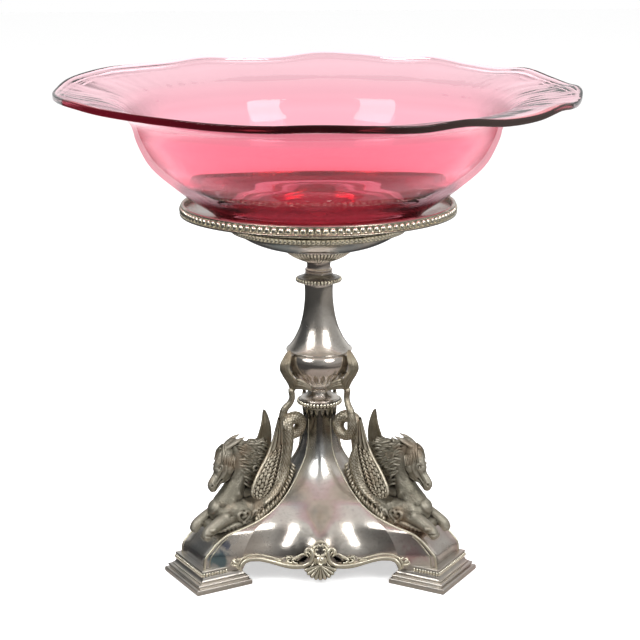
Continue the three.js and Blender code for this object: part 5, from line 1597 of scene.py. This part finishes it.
# Bowl: blown cranberry glass, thick and deep red at its pushed-up floor and drawn out to a
# pale brim, which is turned out, waved by hand and wrinkled by the tools. It lies loose.
SEAT = 204.5
KICK_UNDER = SEAT + 3.4
KICK_TOP = 212.9
RIM_HEIGHTS = [
    278.6, 277.8, 279.4, 282.3, 280.8, 282.7, 286.2, 285.1, 287.3, 288.3, 285.3, 285.3,
    286.9, 284.8, 284.3, 284.4, 283.3, 281.8, 279.2, 278.8, 279.2, 279.3, 278.4, 277.6,
    276.6, 275.4, 274.9, 275.5, 274.7, 273.9, 275.6, 273.7, 274.1, 276.6, 275.6, 277.5,
]
BAND_TOP = 280.7
BRIM_START = 101
BRIM_WIDTH = 44
BRIM_TILT = 5.8
WRINKLES_START = 96

bowl_outer = curve([
    (0.01, KICK_UNDER), (12, SEAT + 3.2), (26.5, SEAT + 2.5), (42, SEAT + 1.1), (50, SEAT + 0.1),
    (53, SEAT), (57.5, 206.6), (62.7, 211.0), (69, 215.2), (74.9, 219.1), (83.2, 225.9), (90.7, 232.3),
    (96.2, 238.4), (100.0, 245.5), (102.6, 252.0), (103.6, 256.3), (105.2, 260.5), (108.5, 264.6),
    (115.0, 269.0), (124, 271.9), (134, 274.4), (141, 276.0), (145.2, 276.7), (146.6, 277.2),
    (146.6, 277.2), (147.0, 278.0), (147.0, 279.8), (146.7, 280.5), (145.9, 280.7), (145.9, 280.7),
    (144.4, 280.3), (142, 279.6),
], 4)
bowl_inner = curve([
    (142, 279.6), (134, 277.2), (124, 274.9), (114.4, 271.9), (107.5, 267.6), (103.2, 262.2),
    (101.6, 258.2), (99.8, 252.6), (97.0, 246.4), (93.2, 240.4), (87.5, 234.5), (80.0, 228.6),
    (71.8, 222.9), (62.0, 216.8), (55, 213.0), (47.7, 211.0), (36, 210.9), (24, 211.6), (12, 212.6),
    (0.01, KICK_TOP),
], 5)
bowl_run = np.vstack([bowl_outer, bowl_inner[1:]])
WRINKLE_ROWS = len(bowl_outer) - 6


def rim_lift(angles):
    """How far the rim stands above its mean height, smoothly round the circle."""
    heights = np.array(RIM_HEIGHTS)
    at = np.degrees(angles) % 360 / 360 * len(heights)
    slot = np.floor(at).astype(int)
    t = at - slot
    a, b, c, d = (heights[(slot + k) % len(heights)] for k in (-1, 0, 1, 2))
    bent = (2 * a - 5 * b + 4 * c - d) * t**2 + (3 * b - a - 3 * c + d) * t**3
    return 0.5 * (2 * b + (c - a) * t + bent) - BAND_TOP


def wave_brim(points):
    """Lifts and waves the brim, by how far out each point lies."""
    radius = np.hypot(points[:, 0], points[:, 1])
    angle = np.arctan2(points[:, 1], points[:, 0])
    share = np.clip((radius - BRIM_START) / BRIM_WIDTH, 0, 1)
    lift = rim_lift(angle)
    tilt = BRIM_TILT * np.sin(angle)
    points[:, 2] += share * tilt + share**2.2 * (lift - tilt)
    return points


def wrinkle(radius, angle):
    """Height of the fine wrinkles in the top of the brim, which are strongest to its sides."""
    place = Vector((9 * math.cos(angle), 9 * math.sin(angle), radius * 0.045))
    fine = Vector((24 * math.cos(angle), 24 * math.sin(angle), radius * 0.06))
    ends = 0.12 + 0.88 * abs(math.cos(angle)) ** 6
    return ends * (0.25 * noise.noise(place) + 0.2 * noise.noise(fine)) * 1.5


def bowl_shape(steps=360):
    """Out under the bowl, round its rim and back in over the inside."""
    angles = np.arange(steps) * 2 * math.pi / steps
    rows = []
    for k, (radius, height) in enumerate(bowl_run):
        ring = np.stack([radius * np.cos(angles), radius * np.sin(angles), np.full(steps, height)], axis=1)
        if k > WRINKLE_ROWS and radius > WRINKLES_START:
            window = min(1, (radius - WRINKLES_START) / 14) * min(1, max(0, 146 - radius) / 8)
            ring[:, 2] += [window * wrinkle(radius, angle) for angle in angles]
        rows.append(ring)
    points = wave_brim(np.vstack(rows))
    count = len(rows)
    faces = grid_faces(count, steps)
    first, last = len(points), len(points) + 1
    points = np.vstack([points, (0, 0, KICK_UNDER), (0, 0, KICK_TOP)])
    for k in range(steps):
        j = (k + 1) % steps
        faces.append([first, j, k])
        faces.append([last, (count - 1) * steps + k, (count - 1) * steps + j])
    return Shape(points, faces)


GLASS_TINTS = [
    (0.0, (0.68, 0.11, 0.145)), (0.36, (0.72, 0.145, 0.19)), (0.50, (0.83, 0.28, 0.35)),
    (0.62, (0.86, 0.34, 0.43)), (0.70, (0.88, 0.42, 0.50)), (0.80, (0.91, 0.53, 0.60)),
    (0.97, (0.92, 0.57, 0.64)), (0.985, (0.90, 0.61, 0.66)),
]
LIP_RED = (0.52, 0.035, 0.06)
LEFT_LIP_GLOW = (0.115, 0.004, 0.011)
FRONT_LIP_GLOW = (0.018, 0.002, 0.003)
RIGHT_LIP_GLOW = (0.055, 0.040, 0.036)
UNLIT = (0, 0, 0)
SHADOW_TINT = (0.97, 0.86, 0.89, 1)
EDGE_TINT = (0.84, 0.57, 0.61, 1)
GLASS_IOR = 1.27
RIM_REACH = 0.147

cranberry = bpy.data.materials.new("cranberry glass")
g = Shading(cranberry)
spot = g.node("TexCoord", output="Object")
bowl_x, bowl_y, _ = g.axes(spot)
reach = off_axis(bowl_x, bowl_y)
outward = (reach + (g.noise(spot, 14.0, 2.0) - 0.5) * 0.006) / RIM_REACH
front = (-1 * bowl_y / reach).between(0.40, 0.43)
lip = outward.between(0.948, 0.962) * front
tint = g.mix(lip, g.node("ValToRGB", {"stops": GLASS_TINTS}, {"Fac": outward}), LIP_RED)
# Painted light: the front of the lip, tinted deep red, is given a faint glow: red to the left, dimmest in
# front and grey to the right.
lip_glow = g.mix(bowl_x.between(-0.11, -0.01), LEFT_LIP_GLOW, FRONT_LIP_GLOW)
lip_glow = g.mix(bowl_x.between(0.01, 0.10), lip_glow, RIGHT_LIP_GLOW)
seeds = g.noise(spot, 45.0, 1.0)
surface = g.node("Bump", sockets={"Strength": 0.06, "Distance": 0.001, "Height": seeds})
clear = g.node("BsdfPrincipled", sockets={
    "Base Color": tint, "Transmission Weight": 1.0, "Roughness": 0.1 * lip, "IOR": GLASS_IOR,
    "Normal": surface, "Emission Color": g.mix(lip, UNLIT, lip_glow), "Emission Strength": 1.0})
shadow = g.node("BsdfTransparent", sockets={"Color": SHADOW_TINT})
outline_shade = g.node("BsdfTransparent", sockets={"Color": EDGE_TINT})
in_silver = g.ray("Is Glossy Ray") * (1 - g.ray("Transmission Depth").between(0, 1))
lets_pass = in_silver * outward.between(0.56, 0.64)
lets_pass = lets_pass.maths("MAXIMUM", g.ray("Is Shadow Ray"), lets_pass)
deep_in = g.ray("Ray Depth").between(6.2, 6.8) * (1 - outward.between(0.95, 0.97))
lets_pass = lets_pass.maths("MAXIMUM", lets_pass, deep_in)
grazing = g.node("LayerWeight", sockets={"Blend": 0.5}, output=1).between(0.44, 0.86)
side_wall = outward.between(0.51, 0.57) * (1 - outward.between(0.70, 0.76))
edge = grazing * side_wall * g.ray("Is Camera Ray")
body = g.node("MixShader", sockets={0: edge, 1: clear, 2: outline_shade})
through = g.node("MixShader", sockets={0: lets_pass, 1: body, 2: shadow})
g.node("OutputMaterial", sockets={"Surface": through})
add_piece("blown_bowl", bowl_shape(), cranberry, "cranberry_glass", "glass_bowl", body="bowl", sharp=80)
